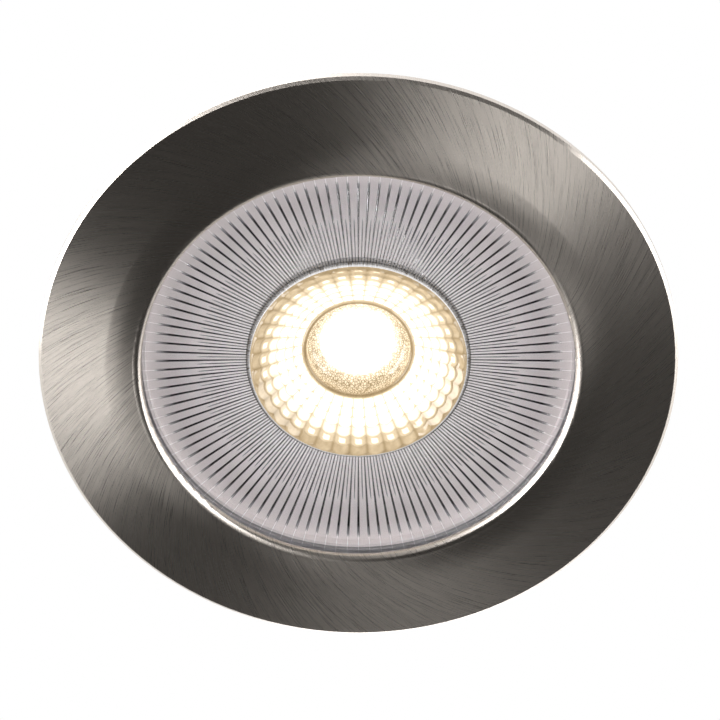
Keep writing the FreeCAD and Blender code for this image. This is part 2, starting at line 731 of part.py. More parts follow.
def slot_through_deck():
    """Slot that the light source's two leads go through."""
    half = LEAD_PITCH / 2
    radius = LEAD_D / 2 + LOOSE_GAP
    height = Z_CORE_FLOOR - Z_SEAT
    ends = [rod(radius, height, Vector(side * half, LED_LEAD_Y, Z_SEAT)) for side in (-1, 1)]
    middle = block((-half, half), (LED_LEAD_Y - radius, LED_LEAD_Y + radius), (Z_SEAT, Z_CORE_FLOOR))
    return middle.fuse(ends)


def make_body_seal():
    return ring(R_SKIRT + LOOSE_GAP, R_SINK - LOOSE_GAP, COLLAR_H, Z_SHOULDER)


# ---- driver -----------------------------------------------------------------------------------------
def supply_lead_places():
    first = -(POLES - 1) / 2 * POLE_PITCH
    return [Vector(first + POLE_PITCH * i, CONTACT_Y + CONTACT_T / 2, 0) for i in range(POLES)]


def make_driver_board():
    body = rod(BOARD_D / 2, BOARD_T, Vector(0, 0, Z_BOARD))
    flat = block((-BOARD_D, BOARD_D), (-BOARD_D, -BOARD_D / 2 + 1.2), (Z_BOARD - 1, Z_BOARD_TOP + 1))
    return solid_of(body.cut(flat))


def on_board(x, y, size):
    return centred((x, y, Z_BOARD_TOP + PART_LIFT), size)


def make_smoothing_capacitor():
    """Can capacitor with the rolled neck near its base."""
    r = CAP_D / 2
    z = Z_BOARD_TOP + PART_LIFT
    can = lathe([
        (0, z), (r, z), (r, z + 0.8), (r - 0.35, z + 1.1), (r, z + 1.4),
        (r, z + CAP_H - 0.4), (r - 0.4, z + CAP_H), (0, z + CAP_H),
    ])
    can.translate(Vector(-6.4, -2.4, 0))
    return can


def make_choke():
    """Square drum choke with its corners taken off."""
    body = on_board(5.6, -5.4, (CHOKE_SIDE, CHOKE_SIDE, CHOKE_H))
    upright = [e for e in body.Edges if abs(e.tangentAt(e.FirstParameter).z) > 0.9]
    return body.makeChamfer(1.1, upright)


def make_rectifier():
    return on_board(8.2, 2.4, (BRIDGE_W, BRIDGE_L, BRIDGE_H))


def make_driver_chip():
    return on_board(0.6, 1.6, (CHIP_L, CHIP_W, CHIP_H))


def make_fuse():
    z = Z_BOARD_TOP + PART_LIFT + FUSE_D / 2
    return rod(FUSE_D / 2, FUSE_L, Vector(-FUSE_L / 2, 6.4, z), Vector(1, 0, 0))


def make_varistor():
    z = Z_BOARD_TOP + PART_LIFT + VARISTOR_D / 2
    return rod(VARISTOR_D / 2, VARISTOR_T, Vector(-1.0, -10.2, z), Vector(0, 1, 0))


def make_supply_leads():
    height = Z_BOX_FLOOR + 1.0 - Z_BOARD_TOP
    return Part.makeCompound([rod(LEAD_D / 2, height, p + UP * Z_BOARD_TOP) for p in supply_lead_places()])


# ---- terminal box --------------------------------------------------------------------------------------
def box_screw_length():
    return BOX_FLOOR + 6.0


def clamp_post_places(side):
    return [(side * CLAMP_X, INLET_Y - CLAMP_HALF_SPAN), (side * CLAMP_X, INLET_Y + CLAMP_HALF_SPAN)]


def hinge_knuckle(x_low, x_high):
    return rod(HINGE_R, x_high - x_low, Vector(x_low, HINGE_Y, Z_LID), Vector(1, 0, 0))


def make_terminal_box():
    """Open box with cable inlets, clamp posts, a lid boss, hinge knuckles and a fixing ear."""
    shell = rounded_box(0, Z_BOX, Z_BOX_RIM).cut(rounded_box(BOX_WALL, Z_BOX_FLOOR, Z_BOX_RIM + 1))
    lip_r = R_CORE_IN - SLIDE_GAP
    adds = [ring(lip_r - BOX_LIP_WALL, lip_r, Z_BOX - BOX_LIP_H, Z_BOX + 0.5)]
    ear_z = (Z_BOX, Z_BOX_FLOOR)
    adds.append(rod(BOX_EAR_R, BOX_FLOOR, Vector(0, BOX_EAR_Y, Z_BOX)))
    adds.append(block((-BOX_EAR_R, BOX_EAR_R), (BOX_EAR_Y, BOX_FRONT_Y + 1), ear_z))
    for side in (-1, 1):
        for x, y in clamp_post_places(side):
            adds.append(rod(CLAMP_POST_D / 2, CLAMP_POST_H + 0.2, Vector(x, y, Z_BOX_FLOOR - 0.2)))
    boss_h = Z_LID_BOSS - Z_BOX_FLOOR + 0.2
    adds.append(rod(LID_BOSS_D / 2, boss_h, Vector(0, LID_SCREW_Y, Z_BOX_FLOOR - 0.2)))
    for side in (-1, 1):
        x_low, x_high = sorted((side * (HINGE_LID_HALF + HINGE_SIDE_GAP), side * HINGE_HALF))
        adds.append(hinge_knuckle(x_low, x_high))
        adds.append(block((x_low, x_high), (BOX_BACK_Y - 0.5, HINGE_Y), (Z_LID - HINGE_R, Z_BOX_RIM)))
    body = joined(shell, adds)
    cuts = []
    for side in (-1, 1):
        low = side * (BOX_HALF_X - BOX_WALL - 1)
        out = Vector(side, 0, 0)
        cuts.append(rod(GROMMET_NECK_D / 2 + FIT_GAP, BOX_WALL + 2, Vector(low, INLET_Y, Z_INLET), out))
        for x, y in clamp_post_places(side):
            cuts.append(rod(CLAMP_SCREW_D / 2 + FIT_GAP, CLAMP_POST_H, Vector(x, y, Z_BOX_FLOOR)))
    for x, y in box_screw_places():
        cuts.append(rod(BOX_SCREW_D / 2 + 0.3, BOX_FLOOR + 2, Vector(x, y, Z_BOX - 1)))
    play = LID_SCREW_D / 2 + LID_SCREW_PLAY
    drop = LID_SCREW_REACH + LOOSE_GAP
    cuts.append(rod(play, drop, Vector(0, LID_SCREW_Y, Z_LID - drop)))
    cuts.append(rod(HINGE_PIN_D / 2 + FIT_GAP, 4 * HINGE_HALF, hinge_start(-2 * HINGE_HALF), Vector(1, 0, 0)))
    for place in supply_lead_places():
        cuts.append(rod(LEAD_D / 2 + SLIDE_GAP, BOX_FLOOR + 2, place + UP * (Z_BOX - 1)))
    return solid_of(body.cut(cuts))


def hinge_start(x):
    return Vector(x, HINGE_Y, Z_LID)


def make_terminal_lid():
    """Flat lid with a locating rib, its middle knuckle and a sunk seat for the lid screw."""
    body = rounded_box(0, Z_LID, Z_LID_TOP)
    rib_inset = BOX_WALL + LOOSE_GAP
    rib = rounded_frame(rib_inset, LID_RIB_W, Z_BOX_RIM - LID_RIB_H + LID_SEAL_T, Z_LID + 0.2)
    half = HINGE_LID_HALF
    knuckle = hinge_knuckle(-half, half)
    web = block((-half, half), (BOX_BACK_Y - 1, HINGE_Y), (Z_LID, Z_LID_TOP))
    body = joined(body, [rib, knuckle, web])
    seat = Vector(0, LID_SCREW_Y, Z_LID)
    cuts = [
        rod(LID_SCREW_D / 2 + FIT_GAP, LID_T + LID_RIB_H + 2, seat - UP * (LID_RIB_H + 1)),
        rod(LID_SCREW_HEAD_D / 2 + SLIDE_GAP, LID_T, seat + UP * (LID_T - 1.2)),
        rod(HINGE_PIN_D / 2 + FIT_GAP, 4 * half, hinge_start(-2 * half), Vector(1, 0, 0)),
    ]
    return solid_of(body.cut(cuts))


def make_lid_seal():
    return rounded_frame(LOOSE_GAP, LID_SEAL_W, Z_BOX_RIM, Z_LID)


def make_lid_hinge_pin():
    return rod(HINGE_PIN_D / 2, 2 * HINGE_HALF, hinge_start(-HINGE_HALF), Vector(1, 0, 0))


def make_lid_screw():
    seat = Vector(0, LID_SCREW_Y, Z_LID_TOP - 1.2)
    length = LID_SCREW_REACH + LID_T - 1.2
    return pan_screw(LID_SCREW_D, length, LID_SCREW_HEAD_D, LID_SCREW_HEAD_H, seat)


def make_box_screws():
    screws = []
    for x, y in box_screw_places():
        seat = Vector(x, y, Z_BOX_FLOOR)
        screws.append(
            pan_screw(BOX_SCREW_D, box_screw_length(), BOX_SCREW_HEAD_D, BOX_SCREW_HEAD_H, seat)
        )
    return Part.makeCompound(screws)


def make_inlet_grommet(side):
    """Rubber bush: a neck through the wall between two flanges, bored for the cable."""
    inner = BOX_HALF_X - BOX_WALL - GROMMET_FLANGE_T
    outer = BOX_HALF_X + GROMMET_FLANGE_T
    bush = lathe([
        (INLET_CABLE_D / 2, inner),
        (GROMMET_FLANGE_D / 2, inner),
        (GROMMET_FLANGE_D / 2, inner + GROMMET_FLANGE_T),
        (GROMMET_NECK_D / 2, inner + GROMMET_FLANGE_T),
        (GROMMET_NECK_D / 2, BOX_HALF_X),
        (GROMMET_FLANGE_D / 2, BOX_HALF_X),
        (GROMMET_FLANGE_D / 2 - 0.6, outer),
        (INLET_CABLE_D / 2, outer),
    ])
    bush.rotate(ORIGIN, Vector(0, 1, 0), 90)
    bush.translate(Vector(0, INLET_Y, Z_INLET))
    if side < 0:
        bush.rotate(Vector(0, INLET_Y, Z_INLET), UP, 180)
    return bush


def make_cable_clamp(side):
    """Saddle that the cable is held down with, arched underneath."""
    z = Z_BOX_FLOOR + CLAMP_POST_H
    length = 2 * CLAMP_HALF_SPAN + CLAMP_POST_D
    body = centred((side * CLAMP_X, INLET_Y, z), (CLAMP_W, length, CLAMP_T))
    upright = [e for e in body.Edges if abs(e.tangentAt(e.FirstParameter).z) > 0.9]
    body = body.makeFillet(CLAMP_W * 0.4, upright)
    groove_z = z - CLAMP_GROOVE_D / 2 + 1.3
    start = Vector(side * CLAMP_X - CLAMP_W, INLET_Y, groove_z)
    cuts = [rod(CLAMP_GROOVE_D / 2, 2 * CLAMP_W, start, Vector(1, 0, 0))]
    for x, y in clamp_post_places(side):
        cuts.append(rod(CLAMP_SCREW_D / 2 + FIT_GAP, CLAMP_T + 2, Vector(x, y, z - 1)))
    return solid_of(body.cut(cuts))


def make_clamp_screws():
    z = Z_BOX_FLOOR + CLAMP_POST_H + CLAMP_T
    screws = []
    for side in (-1, 1):
        for x, y in clamp_post_places(side):
            seat = Vector(x, y, z)
            screws.append(
                pan_screw(CLAMP_SCREW_D, CLAMP_SCREW_L, CLAMP_SCREW_HEAD_D, CLAMP_SCREW_HEAD_H, seat)
            )
    return Part.makeCompound(screws)


# ---- terminal block ---------------------------------------------------------------------------------------
def pole_x(index):
    return (index - (POLES - 1) / 2) * POLE_PITCH


def button_low():
    return Z_BLOCK_TOP + BUTTON_PROUD - BUTTON_H


def make_terminal_block():
    """Push-in block: a flared port, a release button pocket and a contact slot for each pole."""
    back = BLOCK_FRONT_Y + BLOCK_L
    body = block((-BLOCK_HALF_X, BLOCK_HALF_X), (BLOCK_FRONT_Y, back), (Z_BOX_FLOOR, Z_BLOCK_TOP))
    bounds = [(e, e.BoundBox) for e in body.Edges]
    top_back = [e for e, box in bounds if box.YMin > back - 0.01 and box.ZMin > Z_BLOCK_TOP - 0.01]
    body = body.makeChamfer(1.6, top_back)
    z_port = Z_BOX_FLOOR + WIRE_PORT_RISE
    half = WIRE_PORT / 2
    flare = half + 0.6
    cuts = []
    for index in range(POLES):
        x = pole_x(index)
        port_z = (z_port - half, z_port + half)
        cuts.append(block((x - half, x + half), (BLOCK_FRONT_Y - 1, CONTACT_Y + CONTACT_T), port_z))
        mouth = Part.makeLoft([
            square_wire(x, BLOCK_FRONT_Y - 0.01, z_port, flare),
            square_wire(x, BLOCK_FRONT_Y + 1.0, z_port, half),
        ], True, True)
        cuts.append(mouth)
        pocket = (BUTTON_W + 2 * SLIDE_GAP, BUTTON_L + 2 * SLIDE_GAP, BUTTON_H + BUTTON_TRAVEL)
        floor = button_low() - BUTTON_TRAVEL - LOOSE_GAP
        cuts.append(centred((x, BLOCK_FRONT_Y + BUTTON_Y, floor), pocket))
        slot_y = (CONTACT_Y - FIT_GAP, CONTACT_Y + CONTACT_T + FIT_GAP)
        slot_x = (x - half - 0.2, x + half + 0.2)
        slot_z = (Z_BOX_FLOOR + 1.0, Z_BOX_FLOOR + 1.0 + CONTACT_H + FIT_GAP)
        cuts.append(block(slot_x, slot_y, slot_z))
        lead = Vector(x, CONTACT_Y + CONTACT_T / 2, Z_BOX_FLOOR)
        cuts.append(rod(LEAD_D / 2 + FIT_GAP, 1.0, lead))
        test = Vector(x, CONTACT_Y + 3.0, Z_BLOCK_TOP - 3.0)
        cuts.append(rod(TEST_HOLE_D / 2, 4.0, test))
    return solid_of(body.cut(cuts))


def square_wire(x, y, z, half):
    corners = [(-half, -half), (half, -half), (half, half), (-half, half)]
    points = [Vector(x + dx, y, z + dz) for dx, dz in corners]
    return Part.makePolygon(points + points[:1])


def make_release_button(index):
    """Button with a screwdriver groove across its top."""
    y = BLOCK_FRONT_Y + BUTTON_Y
    body = centred((pole_x(index), y, button_low()), (BUTTON_W, BUTTON_L, BUTTON_H))
    top = Z_BLOCK_TOP + BUTTON_PROUD
    x = (pole_x(index) - BUTTON_W, pole_x(index) + BUTTON_W)
    return solid_of(body.cut(block(x, (y - 0.4, y + 0.4), (top - 0.5, top + 1))))


def make_contact_plates():
    half = WIRE_PORT / 2
    z = (Z_BOX_FLOOR + 1.0, Z_BOX_FLOOR + 1.0 + CONTACT_H)
    plates = []
    for index in range(POLES):
        x = pole_x(index)
        plates.append(block((x - half, x + half), (CONTACT_Y, CONTACT_Y + CONTACT_T), z))
    return Part.makeCompound(plates)


# ---- spring clips ------------------------------------------------------------------------------------------
def arm_frame():
    """Unit vectors along the resting arm and square to its outer face."""
    droop = math.radians(ARM_DROOP)
    along = Vector(math.cos(droop), 0, -math.sin(droop))
    square = Vector(math.sin(droop), 0, math.cos(droop))
    return along, square


def arm_point(u, n):
    """(x, z) of a point u along the resting arm and n square to it, from the pivot."""
    along, square = arm_frame()
    point = along * u + square * n
    return PIVOT_X + point.x, PIVOT_Z + point.z


def pivot_rod(radius, y_low, y_high):
    return rod(radius, y_high - y_low, Vector(PIVOT_X, y_low, PIVOT_Z), Vector(0, 1, 0))


def bracket_screw_points():
    face = X_BRACKET
    return [
        Vector(face, 0, PIVOT_Z + BRACKET_SCREW_UP),
        Vector(face, 0, PIVOT_Z - BRACKET_SCREW_DOWN),
    ]


def bracket_screw_holes():
    head_h = (BRACKET_SCREW_HEAD_D - BRACKET_SCREW_D) / 2
    out = Vector(1, 0, 0)
    return [
        flush_hole(BRACKET_SCREW_D, BRACKET_SCREW_L, BRACKET_SCREW_HEAD_D, head_h, point, out)
        for point in bracket_screw_points()
    ]


def make_bracket_screws():
    head_h = (BRACKET_SCREW_HEAD_D - BRACKET_SCREW_D) / 2
    out = Vector(1, 0, 0)
    screws = [
        flush_screw(BRACKET_SCREW_D, BRACKET_SCREW_L, BRACKET_SCREW_HEAD_D, head_h, point, out)
        for point in bracket_screw_points()
    ]
    return Part.makeCompound(screws + [turned(screw, 180) for screw in screws])


def make_clip_bracket():
    """Pressed bracket: a back plate, two ears for the pin and a stop tab on each ear."""
    top = PIVOT_Z + BRACKET_TOP
    bottom = PIVOT_Z - BRACKET_BOTTOM
    back = block((X_PAD, X_BRACKET), (-BRACKET_OUT, BRACKET_OUT), (bottom, top))
    stop_low = arm_point(STOP_REACH, ARM_OFFSET - LOOSE_GAP - STOP_W)
    stop_high = arm_point(STOP_REACH, ARM_OFFSET - LOOSE_GAP)
    outline = [
        (X_PAD, top),
        (X_BRACKET + 1.4, top),
        (PIVOT_X + 2.4, PIVOT_Z + 1.6),
        stop_high,
        stop_low,
        (X_BRACKET + 1.4, bottom),
        (X_PAD, bottom),
    ]
    ear = plate(outline, BRACKET_IN, BRACKET_OUT)
    stop = plate([
        stop_high,
        stop_low,
        arm_point(STOP_REACH - STOP_W, ARM_OFFSET - LOOSE_GAP - STOP_W),
        arm_point(STOP_REACH - STOP_W, ARM_OFFSET - LOOSE_GAP),
    ], ARM_ROOT_HALF - ARM_EAR_T - 1.0, BRACKET_OUT)
    side = ear.fuse(stop)
    mirrored = side.mirror(ORIGIN, Vector(0, 1, 0))
    body = joined(back, [side, mirrored])
    hole = pivot_rod(PIVOT_PIN_D / 2 + FIT_GAP, -2 * BRACKET_OUT, 2 * BRACKET_OUT)
    return solid_of(body.cut([hole] + bracket_screw_holes()))


def make_clip_arm():
    """Pressed arm: a tapering blade with a curled tip, carried on two round ears."""
    low, high = ARM_OFFSET, ARM_OFFSET + ARM_T
    straight_end = ARM_L - ARM_CURL_L
    curl = math.radians(ARM_CURL)
    tip_u = straight_end + ARM_CURL_L * math.cos(curl)
    tip_n = ARM_CURL_L * math.sin(curl)
    outline = [
        arm_point(ARM_START, low),
        arm_point(straight_end, low),
        arm_point(tip_u, low + tip_n),
        arm_point(tip_u - ARM_T * math.sin(curl), low + tip_n + ARM_T * math.cos(curl)),
        arm_point(straight_end - ARM_T * math.tan(curl / 2), high),
        arm_point(ARM_START, high),
    ]
    wide = plate(outline, -ARM_ROOT_HALF, ARM_ROOT_HALF)
    along, square = arm_frame()
    blade = wide.common(taper_prism(along, square))
    x_root, z_root = arm_point(ARM_START + 0.2, low)
    x_top, z_top = arm_point(ARM_START + 0.2, high)
    x_back, z_back = arm_point(0.4, -ARM_EAR_R + 0.1)
    x_over, z_over = arm_point(0.4, ARM_EAR_R - 0.1)
    side = plate([(x_root, z_root), (x_top, z_top), (x_over, z_over), (x_back, z_back)],
                 ARM_EAR_OUT - ARM_EAR_T, ARM_EAR_OUT)
    side = side.fuse(pivot_rod(ARM_EAR_R, ARM_EAR_OUT - ARM_EAR_T, ARM_EAR_OUT))
    body = joined(blade, [side, side.mirror(ORIGIN, Vector(0, 1, 0))])
    hole = pivot_rod(PIVOT_PIN_D / 2 + FIT_GAP, -2 * ARM_EAR_OUT, 2 * ARM_EAR_OUT)
    return solid_of(body.cut(hole))


def taper_prism(along, square):
    """Wedge that the arm's blade is cut to: full width at the root, narrow at the tip."""
    corners = [
        (ARM_START - 1, ARM_ROOT_HALF),
        (ARM_START + 3, ARM_ROOT_HALF),
        (ARM_L - SLEEVE_L, ARM_TIP_HALF),
        (ARM_L + 1, ARM_TIP_HALF),
        (ARM_L + 1, -ARM_TIP_HALF),
        (ARM_L - SLEEVE_L, -ARM_TIP_HALF),
        (ARM_START + 3, -ARM_ROOT_HALF),
        (ARM_START - 1, -ARM_ROOT_HALF),
    ]
    pivot = Vector(PIVOT_X, 0, PIVOT_Z)
    depth = ARM_L
    points = [pivot + along * u + Vector(0, y, 0) - square * (depth / 2) for u, y in corners]
    return Part.Face(Part.makePolygon(points + points[:1])).extrude(square * depth)


def make_clip_sleeve():
    """Soft sleeve over the arm's tip, hollow where the tip goes in."""
    low = ARM_OFFSET - SLEEVE_WALL
    curl = math.radians(ARM_CURL)
    rise = ARM_CURL_L * math.sin(curl)
    high = ARM_OFFSET + ARM_T + SLEEVE_WALL
    start = ARM_L - SLEEVE_L
    bend = ARM_L - ARM_CURL_L
    end = ARM_L + SLEEVE_END
    half = ARM_TIP_HALF + SLEEVE_WALL
    outline = [
        arm_point(start, low),
        arm_point(bend, low),
        arm_point(end, low + rise + 0.3),
        arm_point(end - 0.5, high + rise),
        arm_point(bend - 0.4, high),
        arm_point(start, high),
    ]
    body = plate(outline, -half, half)
    room = FIT_GAP
    tip_u = bend + (ARM_CURL_L + room) * math.cos(curl)
    tip_n = (ARM_CURL_L + room) * math.sin(curl)
    hollow = [
        arm_point(start - 1, ARM_OFFSET - room),
        arm_point(bend, ARM_OFFSET - room),
        arm_point(tip_u, ARM_OFFSET - room + tip_n),
        arm_point(tip_u - (ARM_T + 2 * room) * math.sin(curl), ARM_OFFSET + tip_n + ARM_T + room),
        arm_point(bend - ARM_T * math.tan(curl / 2), ARM_OFFSET + ARM_T + room),
        arm_point(start - 1, ARM_OFFSET + ARM_T + room),
    ]
    inside = plate(hollow, -ARM_TIP_HALF - room, ARM_TIP_HALF + room)
    return solid_of(body.cut(inside))


def make_clip_pin():
    """Headed pivot pin, from ear to ear of the bracket."""
    body = pivot_rod(PIVOT_PIN_D / 2, -BRACKET_OUT - PIN_HEAD_T, BRACKET_OUT + PIN_HEAD_T)
    heads = []
    for side in (-1, 1):
        y_low, y_high = sorted((side * BRACKET_OUT, side * (BRACKET_OUT + PIN_HEAD_T)))
        heads.append(pivot_rod(PIN_HEAD_D / 2, y_low, y_high))
    return joined(body, heads)


def biarc(start, start_dir, end, end_dir):
    """Two arcs that leave start and reach end along the given directions."""
    chord = end - start
    both = start_dir + end_dir
    a = 2 * (start_dir.dot(end_dir) - 1)
    b = -2 * chord.dot(both)
    c = chord.dot(chord)
    reach = (-b - math.sqrt(b * b - 4 * a * c)) / (2 * a)
    middle = (start + start_dir * reach + end - end_dir * reach) * 0.5
    arcs = []
    halves = ((start, middle, start + start_dir * reach), (middle, end, end - end_dir * reach))
    for low, high, corner in halves:
        base = (low + high) * 0.5
        half = (high - low).Length / 2
        height = (corner - base).Length
        sag = half * math.tan(math.atan2(height, half) / 2)
        arcs.append(Part.Arc(low, base + (corner - base) * (sag / height), high).toShape())
    return arcs


def spring_stations():
    """Points and directions at about each half turn of the coil, from the fixed leg to the moving leg."""
    start = math.pi
    total = math.radians(90 + ARM_DROOP) + 2 * math.pi * COIL_FULL_TURNS
    halves = math.ceil(total / math.pi)
    width = COIL_PITCH * total / (2 * math.pi)
    climb = COIL_PITCH / (2 * math.pi)
    stations = []
    for i in range(halves + 1):
        turn = total * i / halves
        angle = start - turn
        y = climb * turn - width / 2
        point = Vector(PIVOT_X + COIL_R * math.cos(angle), y, PIVOT_Z + COIL_R * math.sin(angle))
        heading = Vector(COIL_R * math.sin(angle), climb, -COIL_R * math.cos(angle)).normalize()
        stations.append((point, heading))
    return stations


def wire_section(centre, heading):
    """Outline of the round wire, with flats a few hundredths of a millimetre deep."""
    across = heading.cross(Vector(0, 1, 0)).normalize() * (WIRE_D / 2)
    square = heading.cross(across).normalize() * (WIRE_D / 2)
    turns = [2 * math.pi * (k + 0.5) / WIRE_SIDES for k in range(WIRE_SIDES)]
    points = [centre + across * math.cos(t) + square * math.sin(t) for t in turns]
    return Part.Wire(Part.makePolygon(points + points[:1]))


def make_clip_spring():
    """Torsion spring: one unbroken wire with a leg on the bracket and a leg on the arm."""
    stations = spring_stations()
    first, first_dir = stations[0]
    last, last_dir = stations[-1]
    tail = first - first_dir * FIXED_LEG_L
    edges = [Part.makeLine(tail, first)]
    for (p, p_dir), (q, q_dir) in zip(stations, stations[1:]):
        edges += biarc(p, p_dir, q, q_dir)
    edges.append(Part.makeLine(last, last + last_dir * MOVING_LEG_L))
    path = Part.Wire(edges)
    section = wire_section(tail, first_dir)
    sweep = Part.BRepOffsetAPI.MakePipeShell(path)
    sweep.add(section)
    sweep.build()
    sweep.makeSolid()
    print("spring: least gap between its turns %.2f mm" % least_gap(path))
    return sweep.shape()


def least_gap(path):
    """Smallest clear distance between stretches of the wire more than half a turn apart."""
    spacing = WIRE_D / 2
    count = int(path.Length / spacing)
    points = path.discretize(Number=count)
    apart = int(math.pi * COIL_R / spacing)
    gap = path.Length
    for i, p in enumerate(points):
        for q in points[i + apart:]:
            gap = min(gap, p.distanceToPoint(q))
    return gap - WIRE_D


# ---- the nodes ------------------------------------------------------------------------------------
def all_nodes():
    nodes = {
        "trim_ring": make_trim_ring(),
        "ceiling_gasket": make_ceiling_gasket(),
        "lens_seal": make_lens_seal(),
        "lens_plate": make_lens_plate(),
        "lens_clamp_ring": make_lens_clamp_ring(),
        "tir_optic": make_tir_optic(),
        "optic_holder": make_optic_holder(),
        "led_holder": make_led_holder(),
        "led_holder_screws": make_led_holder_screws(),
        "led_substrate": make_led_substrate(),
        "led_phosphor": make_led_phosphor(),
        "thermal_pad": make_thermal_pad(),
        "led_leads": make_led_leads(),
        "heat_sink": make_heat_sink(),
        "body_seal": make_body_seal(),
        "trim_screws": make_trim_screws(),
        "driver_board": make_driver_board(),
        "smoothing_capacitor": make_smoothing_capacitor(),
        "choke": make_choke(),
        "rectifier": make_rectifier(),
        "driver_chip": make_driver_chip(),
        "fuse": make_fuse(),
        "varistor": make_varistor(),
        "supply_leads": make_supply_leads(),
        "terminal_box": make_terminal_box(),
        "terminal_lid": make_terminal_lid(),
        "lid_seal": make_lid_seal(),
        "lid_hinge_pin": make_lid_hinge_pin(),
        "lid_screw": make_lid_screw(),
        "box_screws": make_box_screws(),
        "terminal_block": make_terminal_block(),
        "contact_plates": make_contact_plates(),
        "clamp_screws": make_clamp_screws(),
        "bracket_screws": make_bracket_screws(),
    }
    for index in range(POLES):
        nodes["release_button_%d" % (index + 1)] = make_release_button(index)
    for name, side in (("left", -1), ("right", 1)):
        nodes["inlet_grommet_" + name] = make_inlet_grommet(side)
        nodes["cable_clamp_" + name] = make_cable_clamp(side)
    clip = {
        "clip_bracket": make_clip_bracket(),
        "clip_arm": make_clip_arm(),
        "clip_sleeve": make_clip_sleeve(),
        "clip_pin": make_clip_pin(),
        "clip_spring": make_clip_spring(),
    }
    for piece, shape in clip.items():
        nodes[piece + "_right"] = shape
        nodes[piece + "_left"] = turned(shape, 180)
    return nodes


os.makedirs("parts", exist_ok=True)
for node, solid in all_nodes().items():
    solid.exportStep("parts/%s.step" % node)
    print("%-24s solids %d  volume %.1f  valid %s" % (node, len(solid.Solids), solid.Volume, solid.isValid()))
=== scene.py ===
import json
import logging
import math
from dataclasses import dataclass, field
from enum import Enum

import bmesh
import bpy
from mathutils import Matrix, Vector


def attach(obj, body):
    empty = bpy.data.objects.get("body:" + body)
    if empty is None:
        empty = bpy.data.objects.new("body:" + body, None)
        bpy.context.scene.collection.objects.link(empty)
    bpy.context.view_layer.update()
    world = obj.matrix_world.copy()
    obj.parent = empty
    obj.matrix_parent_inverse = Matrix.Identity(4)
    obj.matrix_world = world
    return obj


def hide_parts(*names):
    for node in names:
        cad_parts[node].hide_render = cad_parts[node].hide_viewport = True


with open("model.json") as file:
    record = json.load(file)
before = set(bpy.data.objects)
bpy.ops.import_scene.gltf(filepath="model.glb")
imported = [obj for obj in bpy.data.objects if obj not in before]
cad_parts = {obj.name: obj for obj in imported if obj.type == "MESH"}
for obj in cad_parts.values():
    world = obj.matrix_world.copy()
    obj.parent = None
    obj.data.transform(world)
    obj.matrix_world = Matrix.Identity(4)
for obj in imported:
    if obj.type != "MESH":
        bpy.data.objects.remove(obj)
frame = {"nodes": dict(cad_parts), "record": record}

log = logging.getLogger("soffit_downlight")

MM = 0.001
Colour = tuple[float, float, float]
Point = tuple[float, float, float]


class Grain(Enum):
    """How the fine marks of a metal lie on its surface."""

    CLOUDY = "cloudy"
    DRAWN_X = "drawn along X"
    DRAWN_Y = "drawn along Y"
    DRAWN_Z = "drawn along Z"

    def stretch(self) -> Point:
        """Scale of the pattern along X, Y and Z: small along the marks."""
        return {
            Grain.CLOUDY: (1.0, 1.0, 1.0),
            Grain.DRAWN_X: (0.04, 1.0, 1.0),
            Grain.DRAWN_Y: (1.0, 0.04, 1.0),
            Grain.DRAWN_Z: (1.0, 1.0, 0.04),
        }[self]


